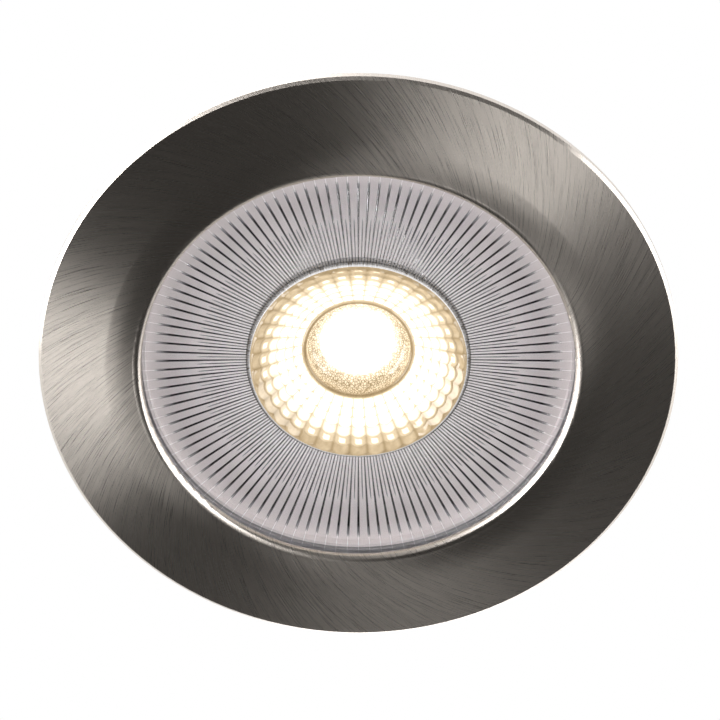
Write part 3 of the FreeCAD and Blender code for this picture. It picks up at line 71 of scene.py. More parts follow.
class Graph:
    """The node tree of one material, with a method for each kind of node that the finishes use."""

    def __init__(self, name: str) -> None:
        """Starts a material that has only its output.

        Args:
            name: name of the material.
        """
        self.material = bpy.data.materials.new(name)
        self.material.use_nodes = True
        self.tree = self.material.node_tree
        self.tree.nodes.clear()
        self.output = self.tree.nodes.new("ShaderNodeOutputMaterial")
        self.shader: bpy.types.Node

    def add(self, kind: str, **settings: object) -> bpy.types.Node:
        """Adds a node.

        Args:
            kind: name of the node's type after "ShaderNode".
            settings: attributes to set on it.

        Returns:
            The node.
        """
        node = self.tree.nodes.new("ShaderNode" + kind)
        for key, value in settings.items():
            setattr(node, key, value)
        return node

    def join(self, source: bpy.types.NodeSocket, target: bpy.types.NodeSocket) -> None:
        """Links one socket to another."""
        self.tree.links.new(source, target)

    def place(self, scale: Point = (1.0, 1.0, 1.0)) -> bpy.types.NodeSocket:
        """Object coordinates about the light's axis.

        Args:
            scale: scale of the pattern along each axis.

        Returns:
            The vector socket.
        """
        coordinates = self.add("TexCoord")
        mapping = self.add("Mapping")
        mapping.inputs["Scale"].default_value = scale
        self.join(coordinates.outputs["Object"], mapping.inputs["Vector"])
        return mapping.outputs["Vector"]

    def noise(self, vector: bpy.types.NodeSocket, scale: float, detail: float = 3.0) -> bpy.types.NodeSocket:
        """Noise between about 0.2 and 0.8.

        Args:
            vector: where the pattern is read.
            scale: patches per metre.
            detail: octaves.

        Returns:
            The value socket.
        """
        node = self.add("TexNoise")
        node.inputs["Scale"].default_value = scale
        node.inputs["Detail"].default_value = detail
        self.join(vector, node.inputs["Vector"])
        return node.outputs["Fac"]

    def remap(
        self, value: bpy.types.NodeSocket, low: float, high: float, start: float = 0.3, end: float = 0.7
    ) -> bpy.types.NodeSocket:
        """Stretches a value to a new range.

        Args:
            value: the value socket.
            low: what start becomes.
            high: what end becomes.
            start: lower end of the old range.
            end: upper end of the old range.

        Returns:
            The value socket.
        """
        node = self.add("MapRange")
        for socket, number in zip(("From Min", "From Max", "To Min", "To Max"), (start, end, low, high)):
            node.inputs[socket].default_value = number
        self.join(value, node.inputs["Value"])
        return node.outputs["Result"]

    def maths(self, operation: str, *operands: object) -> bpy.types.NodeSocket:
        """One sum of numbers or sockets.

        Args:
            operation: name of the Math node's operation.
            operands: numbers or value sockets.

        Returns:
            The value socket.
        """
        node = self.add("Math", operation=operation)
        for socket, operand in zip(node.inputs, operands):
            if isinstance(operand, bpy.types.NodeSocket):
                self.join(operand, socket)
            else:
                socket.default_value = operand
        return node.outputs["Value"]

    def blend(self, factor: bpy.types.NodeSocket, first: Colour, second: Colour) -> bpy.types.NodeSocket:
        """Colour between two, by a factor.

        Args:
            factor: value socket between 0 and 1.
            first: colour at 0.
            second: colour at 1.

        Returns:
            The colour socket.
        """
        # A Mix node has a set of sockets for each kind of data. Those of a colour are found by number.
        node = self.add("Mix", data_type="RGBA")
        node.inputs[6].default_value = (*first, 1.0)
        node.inputs[7].default_value = (*second, 1.0)
        self.join(factor, node.inputs[0])
        return node.outputs[2]

    def mark(self, name: str) -> bpy.types.NodeSocket:
        """The number that a piece's own attribute gives each place."""
        return self.add("Attribute", attribute_name=name).outputs["Fac"]

    def paint(self, factor: bpy.types.NodeSocket, first: Colour, second: Colour) -> None:
        """Varies the surface's colour between two, by a factor."""
        self.join(self.blend(factor, first, second), self.shader.inputs["Base Color"])

    def gloss(self, value: bpy.types.NodeSocket, low: float, high: float) -> None:
        """Varies the surface's roughness between two, by a pattern."""
        self.join(self.remap(value, low, high), self.shader.inputs["Roughness"])

    def bump(self, height: bpy.types.NodeSocket, depth: float) -> None:
        """Bumps the surface.

        Args:
            height: value socket between 0 and 1.
            depth: height of the bumps in metres.
        """
        node = self.add("Bump")
        node.inputs["Distance"].default_value = depth
        self.join(height, node.inputs["Height"])
        self.join(node.outputs["Normal"], self.shader.inputs["Normal"])

    def surface(self, **constants: object) -> bpy.types.Node:
        """Adds the surface shader and sets what is the same all over.

        Args:
            constants: value of each socket, its name in small letters with underscores.

        Returns:
            The shader node.
        """
        self.shader = self.add("BsdfPrincipled")
        for key, value in constants.items():
            socket = self.shader.inputs[key.replace("_", " ").title().replace("Ior", "IOR")]
            socket.default_value = (*value, 1.0) if isinstance(value, tuple) else value
        self.join(self.shader.outputs["BSDF"], self.output.inputs["Surface"])
        return self.shader


@dataclass(frozen=True)
class Metal:
    """A bare, plated or cast metal with cloudy or drawn marks.

    Patches are counted per metre, the fineness is how many marks go to a patch, and the pitting is in metres.
    """

    name: str
    colour: Colour
    worn: Colour
    roughness: float = 0.35
    spread: float = 0.1
    patch: float = 260.0
    fineness: float = 14.0
    grain: Grain = Grain.CLOUDY
    pitting: float = 0.00003

    def material(self) -> bpy.types.Material:
        """Builds the finish.

        Returns:
            The material.
        """
        g = Graph(self.name)
        g.surface(metallic=1.0)
        broad = g.noise(g.place(), self.patch)
        fine = g.noise(g.place(self.grain.stretch()), self.patch * self.fineness, 4.0)
        g.paint(g.remap(broad, 0.0, 1.0), self.colour, self.worn)
        g.gloss(fine, self.roughness - self.spread, self.roughness + self.spread)
        g.bump(fine, self.pitting)
        return g.material


@dataclass(frozen=True)
class Moulding:
    """A moulded plastic or rubber with a fine grain and slightly uneven gloss.

    The spill is painted light: an even glow in the piece's own colour that stands in for the light that the
    source behind it leaks into the piece.
    """

    name: str
    colour: Colour
    shade: Colour
    roughness: float = 0.45
    spread: float = 0.08
    grain_scale: float = 5200.0
    grain_depth: float = 0.000012
    coat: float = 0.0
    spill: float = 0.0
    patch: float = 170.0

    def material(self) -> bpy.types.Material:
        """Builds the finish.

        Returns:
            The material.
        """
        g = Graph(self.name)
        # The spill is a painted glow: an even emission in the piece's own colour.
        g.surface(
            ior=1.5, coat_weight=self.coat, coat_roughness=0.1,
            emission_color=self.colour, emission_strength=self.spill,
        )
        broad = g.noise(g.place(), self.patch)
        g.paint(g.remap(broad, 0.0, 1.0), self.colour, self.shade)
        g.gloss(broad, self.roughness - self.spread, self.roughness + self.spread)
        g.bump(g.noise(g.place(), self.grain_scale, 2.0), self.grain_depth)
        return g.material


@dataclass(frozen=True)
class SpiralBrushed:
    """Nickel-plated steel brushed in a spiral: every stroke crosses the radius at the same angle.

    Strokes are counted per radian round the axis, and the length is how fast they change along it.
    """

    name: str = "brushed_nickel"
    colour: Colour = (0.72, 0.665, 0.61)
    worn: Colour = (0.61, 0.555, 0.50)
    stroke_angle: float = 42.0
    strokes: float = 520.0
    stroke_length: float = 170.0
    roughness: float = 0.30
    spread: float = 0.06
    pull: float = 0.85
    depth: float = 0.0000018

    def turned(self, g: Graph, vector: bpy.types.NodeSocket) -> bpy.types.Node:
        """Adds a turn of a vector about the light's axis.

        Args:
            g: the finish's graph.
            vector: the vector to turn.

        Returns:
            The node, its angle still to be set.
        """
        node = g.add("VectorRotate", rotation_type="Z_AXIS")
        g.join(vector, node.inputs["Vector"])
        return node

    def material(self) -> bpy.types.Material:
        """Builds the finish.

        Returns:
            The material.
        """
        g = Graph(self.name)
        shader = g.surface(metallic=1.0, anisotropic=self.pull)
        flat = g.place((1.0, 1.0, 0.0))
        outward = g.add("VectorMath", operation="NORMALIZE")
        g.join(flat, outward.inputs[0])
        length = g.add("VectorMath", operation="LENGTH")
        g.join(flat, length.inputs[0])
        radius = length.outputs["Value"]
        wound = self.turned(g, outward.outputs["Vector"])
        steep = math.tan(math.radians(self.stroke_angle))
        g.join(g.maths("MULTIPLY", g.maths("LOGARITHM", radius, math.e), steep), wound.inputs["Angle"])
        along = g.add("CombineXYZ")
        g.join(g.maths("MULTIPLY", radius, self.stroke_length), along.inputs["Z"])
        spread = g.add("VectorMath", operation="MULTIPLY_ADD")
        spread.inputs[1].default_value = (self.strokes,) * 3
        g.join(wound.outputs["Vector"], spread.inputs[0])
        g.join(along.outputs["Vector"], spread.inputs[2])
        strokes = g.noise(spread.outputs["Vector"], 1.0, 3.0)
        across = self.turned(g, outward.outputs["Vector"])
        across.inputs["Angle"].default_value = math.radians(90.0 - self.stroke_angle)
        g.join(across.outputs["Vector"], shader.inputs["Tangent"])
        g.paint(g.remap(strokes, 0.0, 1.0), self.worn, self.colour)
        g.gloss(strokes, self.roughness + self.spread, self.roughness - self.spread)
        g.bump(strokes, self.depth)
        return g.material


@dataclass(frozen=True)
class ClearMoulding:
    """A clear moulded optical plastic with faint flow marks.

    A piece may carry two attributes: "shade", where a groove is painted dark and opaque, a painted shade of
    the dark surroundings seen through it, and "shine", where an edge or line is given a white emission, a
    painted highlight.
    """

    name: str
    colour: Colour = (1.0, 1.0, 1.0)
    haze: float = 0.03
    ior: float = 1.49
    # The dark colour is painted shade for the grooves, and the shine is the strength of a painted highlight.
    dark: Colour = (0.035, 0.030, 0.033)
    shine: float = 0.75
    flow_scale: float = 420.0
    flow_depth: float = 0.000004

    def material(self) -> bpy.types.Material:
        """Builds the finish.

        Returns:
            The material.
        """
        g = Graph(self.name)
        shader = g.surface(ior=self.ior, emission_color=(1.0, 1.0, 1.0))
        # Painted shade: where the shade attribute is 1, the surface is dark and opaque.
        shade = g.mark("shade")
        g.paint(shade, self.colour, self.dark)
        g.join(g.maths("SUBTRACT", 1.0, shade), shader.inputs["Transmission Weight"])
        # Painted highlight: a white emission where the shine attribute is set.
        g.join(g.maths("MULTIPLY", g.mark("shine"), self.shine), shader.inputs["Emission Strength"])
        flow = g.noise(g.place(), self.flow_scale, 2.0)
        g.gloss(flow, self.haze * 0.5, self.haze * 1.5)
        g.bump(flow, self.flow_depth)
        return g.material


@dataclass(frozen=True)
class Phosphor:
    """The warm white source: a yellow gel that glows evenly, a little less towards its edge.

    The edge has a share of the strength, and the even part is a share of the radius, which is in metres.
    """

    name: str = "lit_phosphor"
    colour: Colour = (1.0, 0.78, 0.32)
    glow: Colour = (1.0, 0.80, 0.52)
    strength: float = 14.0
    edge: float = 0.7
    even: float = 0.6
    radius: float = 4.8 * MM

    def material(self) -> bpy.types.Material:
        """Builds the finish.

        Returns:
            The material.
        """
        g = Graph(self.name)
        shader = g.surface(base_color=self.colour, roughness=0.5, emission_color=self.glow)
        length = g.add("VectorMath", operation="LENGTH")
        g.join(g.place((1.0, 1.0, 0.0)), length.inputs[0])
        dim = self.strength * self.edge
        fall = g.remap(length.outputs["Value"], self.strength, dim, self.radius * self.even, self.radius)
        g.join(fall, shader.inputs["Emission Strength"])
        return g.material


@dataclass(frozen=True)
class GlowingOptic:
    """Clear warm optic with painted light: an emission, cream at its rims and white where a facet catches the
    source, stands in for the source's light seen through it.

    The piece's own attributes say how bright the painted glow is at each place and where the hollow is
    dimpled; the dimples' rims are painted shade in the glow. A tone is a brightness, as a share of the
    brightest, and the colour that it glows in.
    """

    name: str = "warm_optic"
    body: Colour = (0.16, 0.12, 0.07)
    tones: tuple[tuple[float, Colour], ...] = (
        (0.12, (0.52, 0.33, 0.13)),
        (0.34, (0.88, 0.71, 0.48)),
        (0.75, (1.0, 0.90, 0.72)),
    )
    brightest: float = 2.0
    dimples: float = 2900.0
    dimple_rim: float = 0.2
    dimple_shade: float = 0.7
    flow_scale: float = 900.0
    flow_depth: float = 0.000006

    def material(self) -> bpy.types.Material:
        """Builds the finish.

        Returns:
            The material.
        """
        g = Graph(self.name)
        shader = g.surface(base_color=self.body, ior=1.49)
        # Painted shade: the glow is dimmed along the rims of cells where the hollow is dimpled.
        cells = g.add("TexVoronoi", feature="DISTANCE_TO_EDGE")
        cells.inputs["Scale"].default_value = self.dimples
        g.join(g.place(), cells.inputs["Vector"])
        rims = g.remap(cells.outputs["Distance"], self.dimple_shade, 0.0, 0.0, self.dimple_rim)
        clear = g.maths("SUBTRACT", 1.0, g.maths("MULTIPLY", rims, g.mark("dimpled")))
        flow = g.noise(g.place(), self.flow_scale, 3.0)
        uneven = g.remap(flow, 0.86, 1.12)
        # lit is the painted glow of the optic, standing in for the source's light seen through it.
        lit = g.maths("MULTIPLY", g.maths("MULTIPLY", g.mark("glow"), uneven), clear)
        ramp = g.add("ValToRGB")
        stops = ramp.color_ramp.elements
        stops.new(self.tones[1][0])
        for stop, (position, colour) in zip(stops, self.tones):
            stop.position, stop.color = position, (*colour, 1.0)
        g.join(g.maths("MULTIPLY", lit, 1.0 / self.brightest), ramp.inputs["Fac"])
        g.join(ramp.outputs["Color"], shader.inputs["Emission Color"])
        g.join(lit, shader.inputs["Emission Strength"])
        g.gloss(flow, 0.03, 0.09)
        g.bump(flow, self.flow_depth)
        return g.material


@dataclass
class Finishes:
    """Every finish of the light, by the record's material slot."""

    made: dict[str, bpy.types.Material] = field(default_factory=dict)

    def metals(self) -> dict[str, Metal]:
        """Lists the metals.

        Returns:
            The finish of each slot.
        """
        return {
            "substrate": Metal("substrate", (0.86, 0.86, 0.84), (0.80, 0.80, 0.78), 0.4),
            "cast_aluminium": Metal(
                "cast_aluminium", (0.60, 0.60, 0.61), (0.48, 0.48, 0.49), 0.46, patch=190.0, pitting=0.00006,
            ),
            "zinc_steel": Metal("zinc_steel", (0.72, 0.72, 0.73), (0.60, 0.60, 0.58), 0.34, patch=300.0),
            "spring_steel": Metal(
                "spring_steel", (0.42, 0.41, 0.40), (0.30, 0.29, 0.28), 0.28, spread=0.08, patch=420.0,
            ),
            "copper_tin": Metal("copper_tin", (0.80, 0.76, 0.66), (0.70, 0.62, 0.50), 0.3),
        }

    def plastics(self) -> dict[str, Moulding]:
        """Lists the plastics, rubbers and painted parts.

        Returns:
            The finish of each slot.
        """
        return {
            "white_plastic": Moulding("white_plastic", (0.80, 0.80, 0.78), (0.74, 0.74, 0.71)),
            # Grey plastic: its own grey tinted warm as painted light from the source, with a painted glow of
            # spill as well.
            "grey_plastic": Moulding("grey_plastic", (0.70, 0.655, 0.635), (0.64, 0.60, 0.58), spill=0.38),
            "black_plastic": Moulding(
                "black_plastic", (0.030, 0.030, 0.032), (0.045, 0.045, 0.047), 0.42,
                grain_scale=2600.0, grain_depth=0.00004,
            ),
            "button_orange": Moulding(
                "button_orange", (0.80, 0.22, 0.03), (0.66, 0.17, 0.02), 0.3,
                spread=0.06, grain_scale=3000.0, grain_depth=0.000008, coat=0.2,
            ),
            "silicone_white": Moulding("silicone_white", (0.72, 0.72, 0.72), (0.66, 0.66, 0.66), 0.55),
            "silicone_grey": Moulding(
                "silicone_grey", (0.20, 0.20, 0.21), (0.15, 0.15, 0.16), 0.75,
                grain_scale=1500.0, grain_depth=0.0001,
            ),
            "black_rubber": Moulding("black_rubber", (0.018, 0.018, 0.018), (0.03, 0.03, 0.03), 0.65),
            "board_green": Moulding(
                "board_green", (0.015, 0.13, 0.05), (0.02, 0.17, 0.07), 0.35,
                spread=0.06, grain_scale=900.0, grain_depth=0.00001, coat=0.4,
            ),
            "component_black": Moulding("component_black", (0.02, 0.02, 0.02), (0.03, 0.03, 0.03), 0.5),
            "component_blue": Moulding(
                "component_blue", (0.02, 0.06, 0.28), (0.03, 0.08, 0.34), 0.3,
                spread=0.06, grain_scale=900.0, grain_depth=0.00001, coat=0.3,
            ),
            "wire_insulation": Moulding("wire_insulation", (0.45, 0.03, 0.02), (0.38, 0.02, 0.015), 0.35),
        }

    def build(self) -> None:
        """Makes the materials."""
        finishes = {
            "brushed_nickel": SpiralBrushed(),
            "clear_lens": ClearMoulding("clear_lens", (0.97, 0.96, 0.99), 0.02),
            "fuse_glass": ClearMoulding("fuse_glass", (0.95, 1.0, 0.97), 0.02, 1.5),
            "warm_optic": GlowingOptic(),
            "phosphor": Phosphor(),
            **self.metals(),
            **self.plastics(),
        }
        self.made = {slot: finish.material() for slot, finish in finishes.items()}

    def dress(self, node: bpy.types.Object, slot: str) -> None:
        """Gives a piece one finish.

        Args:
            node: the piece.
            slot: the record's material slot.
        """
        node.data.materials.clear()
        node.data.materials.append(self.made[slot])


def polar(radius: float, angle: float, height: float) -> Vector:
    """Point at a radius and angle round the light's axis, from millimetres to metres."""
    return Vector((radius * math.cos(angle), radius * math.sin(angle), height)) * MM


def spin_round(bm: bmesh.types.BMesh, sectors: int, merge: float = 0.000004) -> None:
    """Repeats a sector round the light's axis and closes the seams between the copies.

    Args:
        bm: the bmesh that holds one sector.
        sectors: how many make the full turn.
        merge: distance within which points become one, in metres.
    """
    bmesh.ops.spin(
        bm, geom=bm.verts[:] + bm.edges[:] + bm.faces[:], axis=(0.0, 0.0, 1.0), cent=(0.0, 0.0, 0.0),
        angle=2.0 * math.pi, steps=sectors, use_duplicate=True,
    )
    bmesh.ops.remove_doubles(bm, verts=bm.verts, dist=merge)
    bmesh.ops.recalc_face_normals(bm, faces=bm.faces)


@dataclass
class CentreOptic:
    """The moulded optic: rows of fish scales in a funnel round a hollow with a convex end face.

    Sizes in millimetres. The lip runs from the funnel to the hollow's end, each point with its radius,
    height, painted brightness and dimpling. A row's glow is the painted brightness in the middle of its
    scales and how much less it is at their edges, painted light and shade that stand in for the source's
    light seen through the optic. The last one is for every row further in, and one row catches the source
    as a painted highlight.
    """

    front: float = -2.4
    radius: float = 14.4
    mouth: float = 13.95
    hollow: float = 7.5
    funnel: float = 3.4
    rows: int = 6
    sectors: int = 36
    row_steps: int = 7
    sector_steps: int = 8
    bulge: float = 0.32
    proud: float = 0.34
    riser: float = 0.08
    border_glow: float = 0.5
    row_glows: tuple[tuple[float, float], ...] = ((0.62, 0.22), (0.80, 0.25), (1.5, 0.78), (2.2, 1.3))
    catching_row: int = 1
    caught_glow: float = 1.7
    end_radius: float = 5.4
    end_height: float = 3.4
    end_crown: float = 1.5
    end_steps: int = 8
    end_edge_glow: float = 1.2
    end_glow: float = 3.0
    end_dimpling: float = 0.7
    back_profile: tuple[tuple[float, float], ...] = (
        (0.0, 8.3), (5.3, 9.3), (5.3, 10.3), (6.2, 10.3), (9.0, 7.6), (11.2, 5.0), (13.0, 2.4), (14.4, -0.2),
        (15.0, -0.2), (15.0, -1.4), (14.4, -1.4),
    )
    lip: tuple[tuple[float, float, float, float], ...] = (
        (7.5, 1.0, 0.8, 0.0), (7.38, 0.86, 0.62, 0.0), (7.22, 0.80, 0.44, 0.2), (7.05, 0.84, 0.34, 0.3),
        (6.93, 0.98, 0.32, 0.6), (6.88, 1.4, 0.80, 1.0), (6.84, 2.0, 1.05, 1.0), (6.8, 2.6, 0.85, 1.0),
        (6.1, 3.05, 1.15, 1.0), (5.4, 3.4, 1.5, 0.8),
    )

    def row_glow(self, row: int, along: float, across: float) -> float:
        """Painted brightness of a place on a scale: painted shade along its edges, cream in the outer rows.

        Args:
            row: number of the row, from the outside.
            along: how far the place is from the scale's outer edge, 0 to 1.
            across: place between the scale's sides, -1 to 1.

        Returns:
            The brightness.
        """
        edge = min(1.0, abs(across) ** 5 + max(0.0, 0.25 - along) * 3.2)
        middle, fall = self.row_glows[min(row, len(self.row_glows) - 1)]
        # Painted highlight: the middle of each scale in the catching row shows the source.
        caught = row == self.catching_row and abs(across) < 0.45 and 0.3 < along < 0.75
        return self.caught_glow if caught else middle - fall * edge

    def scale_point(self, row: int, step: int, across: float) -> tuple[float, float, float]:
        """Radius, height and brightness of one point of a scale.

        Args:
            row: number of the row, from the outside.
            step: number of the point, from the scale's outer edge; the riser lies behind the first.
            across: place between the scale's sides, -1 to 1.

        Returns:
            Radius and height, and the brightness.
        """
        band = self.mouth - self.hollow
        width = band / self.rows
        arch = 1.0 - across * across
        taper = 1.0 - row / self.rows
        bow = self.bulge * arch * (0.6 + 0.4 * taper)
        outer = self.mouth - width * row + bow
        inner = self.mouth - width * (row + 1) + (bow if row + 1 < self.rows else 0.0)
        if step == 0:
            along = lift = 0.0
        else:
            along = self.riser + (1.0 - self.riser) * (step - 1.0) / (self.row_steps - 1.0)
            lift = self.proud * (1.0 - along) * (0.35 + 0.65 * arch)
        radius = outer + (inner - outer) * along
        base = self.front + self.funnel * (self.mouth - radius) / band
        return radius, base - lift, self.row_glow(row, along, across)

    def inner_profile(self) -> list[tuple[float, float, float, float]]:
        """Rounded lip, dimpled wall and convex end of the hollow.

        Returns:
            Radius, height, brightness and dimpling of each point, from the lip to the axis.
        """
        points = list(self.lip)
        for step in range(self.end_steps - 1, -1, -1):
            share = step / self.end_steps
            height = self.end_height - self.end_crown * (1.0 - share * share)
            glow = self.end_edge_glow + self.end_glow * (1.0 - share ** 3)
            points.append((self.end_radius * share, height, glow, self.end_dimpling * share ** 2))
        return points

    def build(self) -> bpy.types.Object:
        """Models one sector on a grid, turns it round the axis and closes the seams.

        Returns:
            The finished piece.
        """
        bm = bmesh.new()
        glow = bm.verts.layers.float.new("glow")
        dimpled = bm.verts.layers.float.new("dimpled")
        before = [(radius, height, 0.0, 0.0) for radius, height in self.back_profile]
        before.append((self.radius, self.front, self.border_glow, 0.0))
        after = self.inner_profile()
        scales = self.rows * self.row_steps
        last = len(before) + scales + len(after) - 1
        bmesh.ops.create_grid(bm, x_segments=last, y_segments=self.sector_steps, size=0.5)
        half = math.pi / self.sectors
        for v in bm.verts:
            line = round((v.co.x + 0.5) * last)
            across = 2.0 * v.co.y
            place = line - len(before)
            if place < 0:
                radius, height, v[glow], v[dimpled] = before[line]
            elif place < scales:
                radius, height, v[glow] = self.scale_point(*divmod(place, self.row_steps), across)
            else:
                radius, height, v[glow], v[dimpled] = after[place - scales]
            v.co = polar(radius, half * across, height)
        spin_round(bm, self.sectors)
        for face in bm.faces:
            face.smooth = True
        optic = mesh_object("scaled_optic", bm)
        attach(optic, "luminaire")
        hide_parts("tir_optic")
        return optic


@dataclass
class RibbedLens:
    """The clear plate between ring and optic: a dished front, and two grooves to each rib behind.

    Sizes in millimetres. A column is a place across a rib, as a share of the ribs' pitch. The long groove
    runs along a rib's middle, the short one between two ribs, and each fades out between two radii, both its
    cut and its painted shade, which stands in for the dark surroundings seen through the groove. The grooves
    get narrower towards the hole, down to the pinch. Beyond a radius the middle of each rib is a painted
    highlight line, a halo of painted glow fades out from the hole, and the hole's edge has a painted shine.
    The knee is where the dished front bends.
    """

    hole: float = 14.45
    aperture: float = 28.8
    rim: float = 30.8
    front: float = -3.4
    dished: float = -2.4
    back: float = -1.4
    bevel: float = 0.15
    knee_radius: float = 20.0
    knee_share: float = 0.387
    ribs: int = 120
    ribs_start: float = 14.9
    ribs_end: float = 28.25
    steps: int = 14
    long_depth: float = 0.42
    short_depth: float = 0.27
    long_end: tuple[float, float] = (25.6, 27.4)
    short_end: tuple[float, float] = (19.8, 21.6)
    long_half: float = 0.11
    short_start: float = 0.46
    pinch: float = 0.3
    pinched_half: float = 0.2
    # Painted highlights and glow: a white line along the outer middle of each rib, a shine at the hole's edge
    # and a halo round the hole.
    painted_highlight_from: float = 26.4
    hole_shine: float = 0.55
    halo: float = 0.27
    halo_width: float = 9.0
    columns: tuple[float, ...] = (
        -0.5, -0.46, -0.42, -0.15, -0.11, -0.03, 0.0, 0.03, 0.11, 0.15, 0.42, 0.46, 0.5,
    )

    def profile(self) -> list[tuple[float, float, bool]]:
        """Closed outline of the plate's section.

        Returns:
            Radius, height and whether the point lies on the ribbed back.
        """
        hole_front = (self.hole, self.dished, False)
        outline = [
            hole_front, (self.hole + self.bevel, self.dished - 0.01, False),
            (self.knee_radius, self.dished + (self.front - self.dished) * self.knee_share, False),
            (self.aperture, self.front, False), (self.rim, self.front, False), (self.rim, self.back, False),
        ]
        for step in range(self.steps + 1):
            radius = self.ribs_end + (self.ribs_start - self.ribs_end) * step / self.steps
            outline.append((radius, self.back, True))
        return outline + [(self.hole, self.back, False), hole_front]

    def groove_left(self, radius: float, limits: tuple[float, float]) -> float:
        """Share of a groove that is left at a radius: all of it inside both limits, none outside them."""
        return min(1.0, max(0.0, (limits[1] - radius) / (limits[1] - limits[0])))

    def rib(self, radius: float, column: float) -> tuple[float, float, float, float]:
        """Grooves, painted shade, painted highlight and place of one point of the ribbed back.

        Args:
            radius: the point's radius.
            column: its column.

        Returns:
            Depth of the grooves, the point's painted shade and painted highlight, and its column there.
        """
        side = abs(column)
        long = self.groove_left(radius, self.long_end)
        short = self.groove_left(radius, self.short_end)
        deep = self.long_depth * long * max(0.0, 1.0 - side / self.long_half)
        between = self.short_depth * short * max(0.0, (side - self.short_start) / (0.5 - self.short_start))
        # Painted shade: the groove looks dark where it is cut.
        shade = long if side <= self.long_half else (short if side >= self.short_start else 0.0)
        # Painted glow near the hole, and a painted highlight line along the rib's outer middle.
        halo = self.halo * max(0.0, 1.0 - (radius - self.ribs_start) / self.halo_width)
        shine = 1.0 if side == 0.0 and radius > self.painted_highlight_from else halo * (1.0 - shade)
        if side < self.pinched_half:
            column *= self.pinch + (1.0 - self.pinch) * radius / self.ribs_end
        return (deep + between) * radius / self.ribs_end, shade, shine, column

    def build(self) -> bpy.types.Object:
        """Models one rib's sector on a grid and turns it round the axis.

        Returns:
            The finished piece.
        """
        bm = bmesh.new()
        shade = bm.verts.layers.float.new("shade")
        shine = bm.verts.layers.float.new("shine")
        outline = self.profile()
        lines, across = len(outline) - 1, len(self.columns) - 1
        bmesh.ops.create_grid(bm, x_segments=lines, y_segments=across, size=0.5)
        pitch = 2.0 * math.pi / self.ribs
        for v in bm.verts:
            radius, height, ribbed = outline[round((v.co.x + 0.5) * lines)]
            column = self.columns[round((v.co.y + 0.5) * across)]
            if ribbed:
                depth, v[shade], v[shine], column = self.rib(radius, column)
                height -= depth
            elif radius == self.hole:
                # Painted shine at the hole's edge.
                v[shine] = self.hole_shine
            v.co = polar(radius, pitch * column, height)
        spin_round(bm, self.ribs)
        plate = mesh_object("ribbed_lens", bm)
        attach(plate, "luminaire")
        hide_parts("lens_plate")
        return plate


class Head(Enum):
    """Form of a screw's head."""

    PAN = "pan"
    FLUSH = "countersunk"


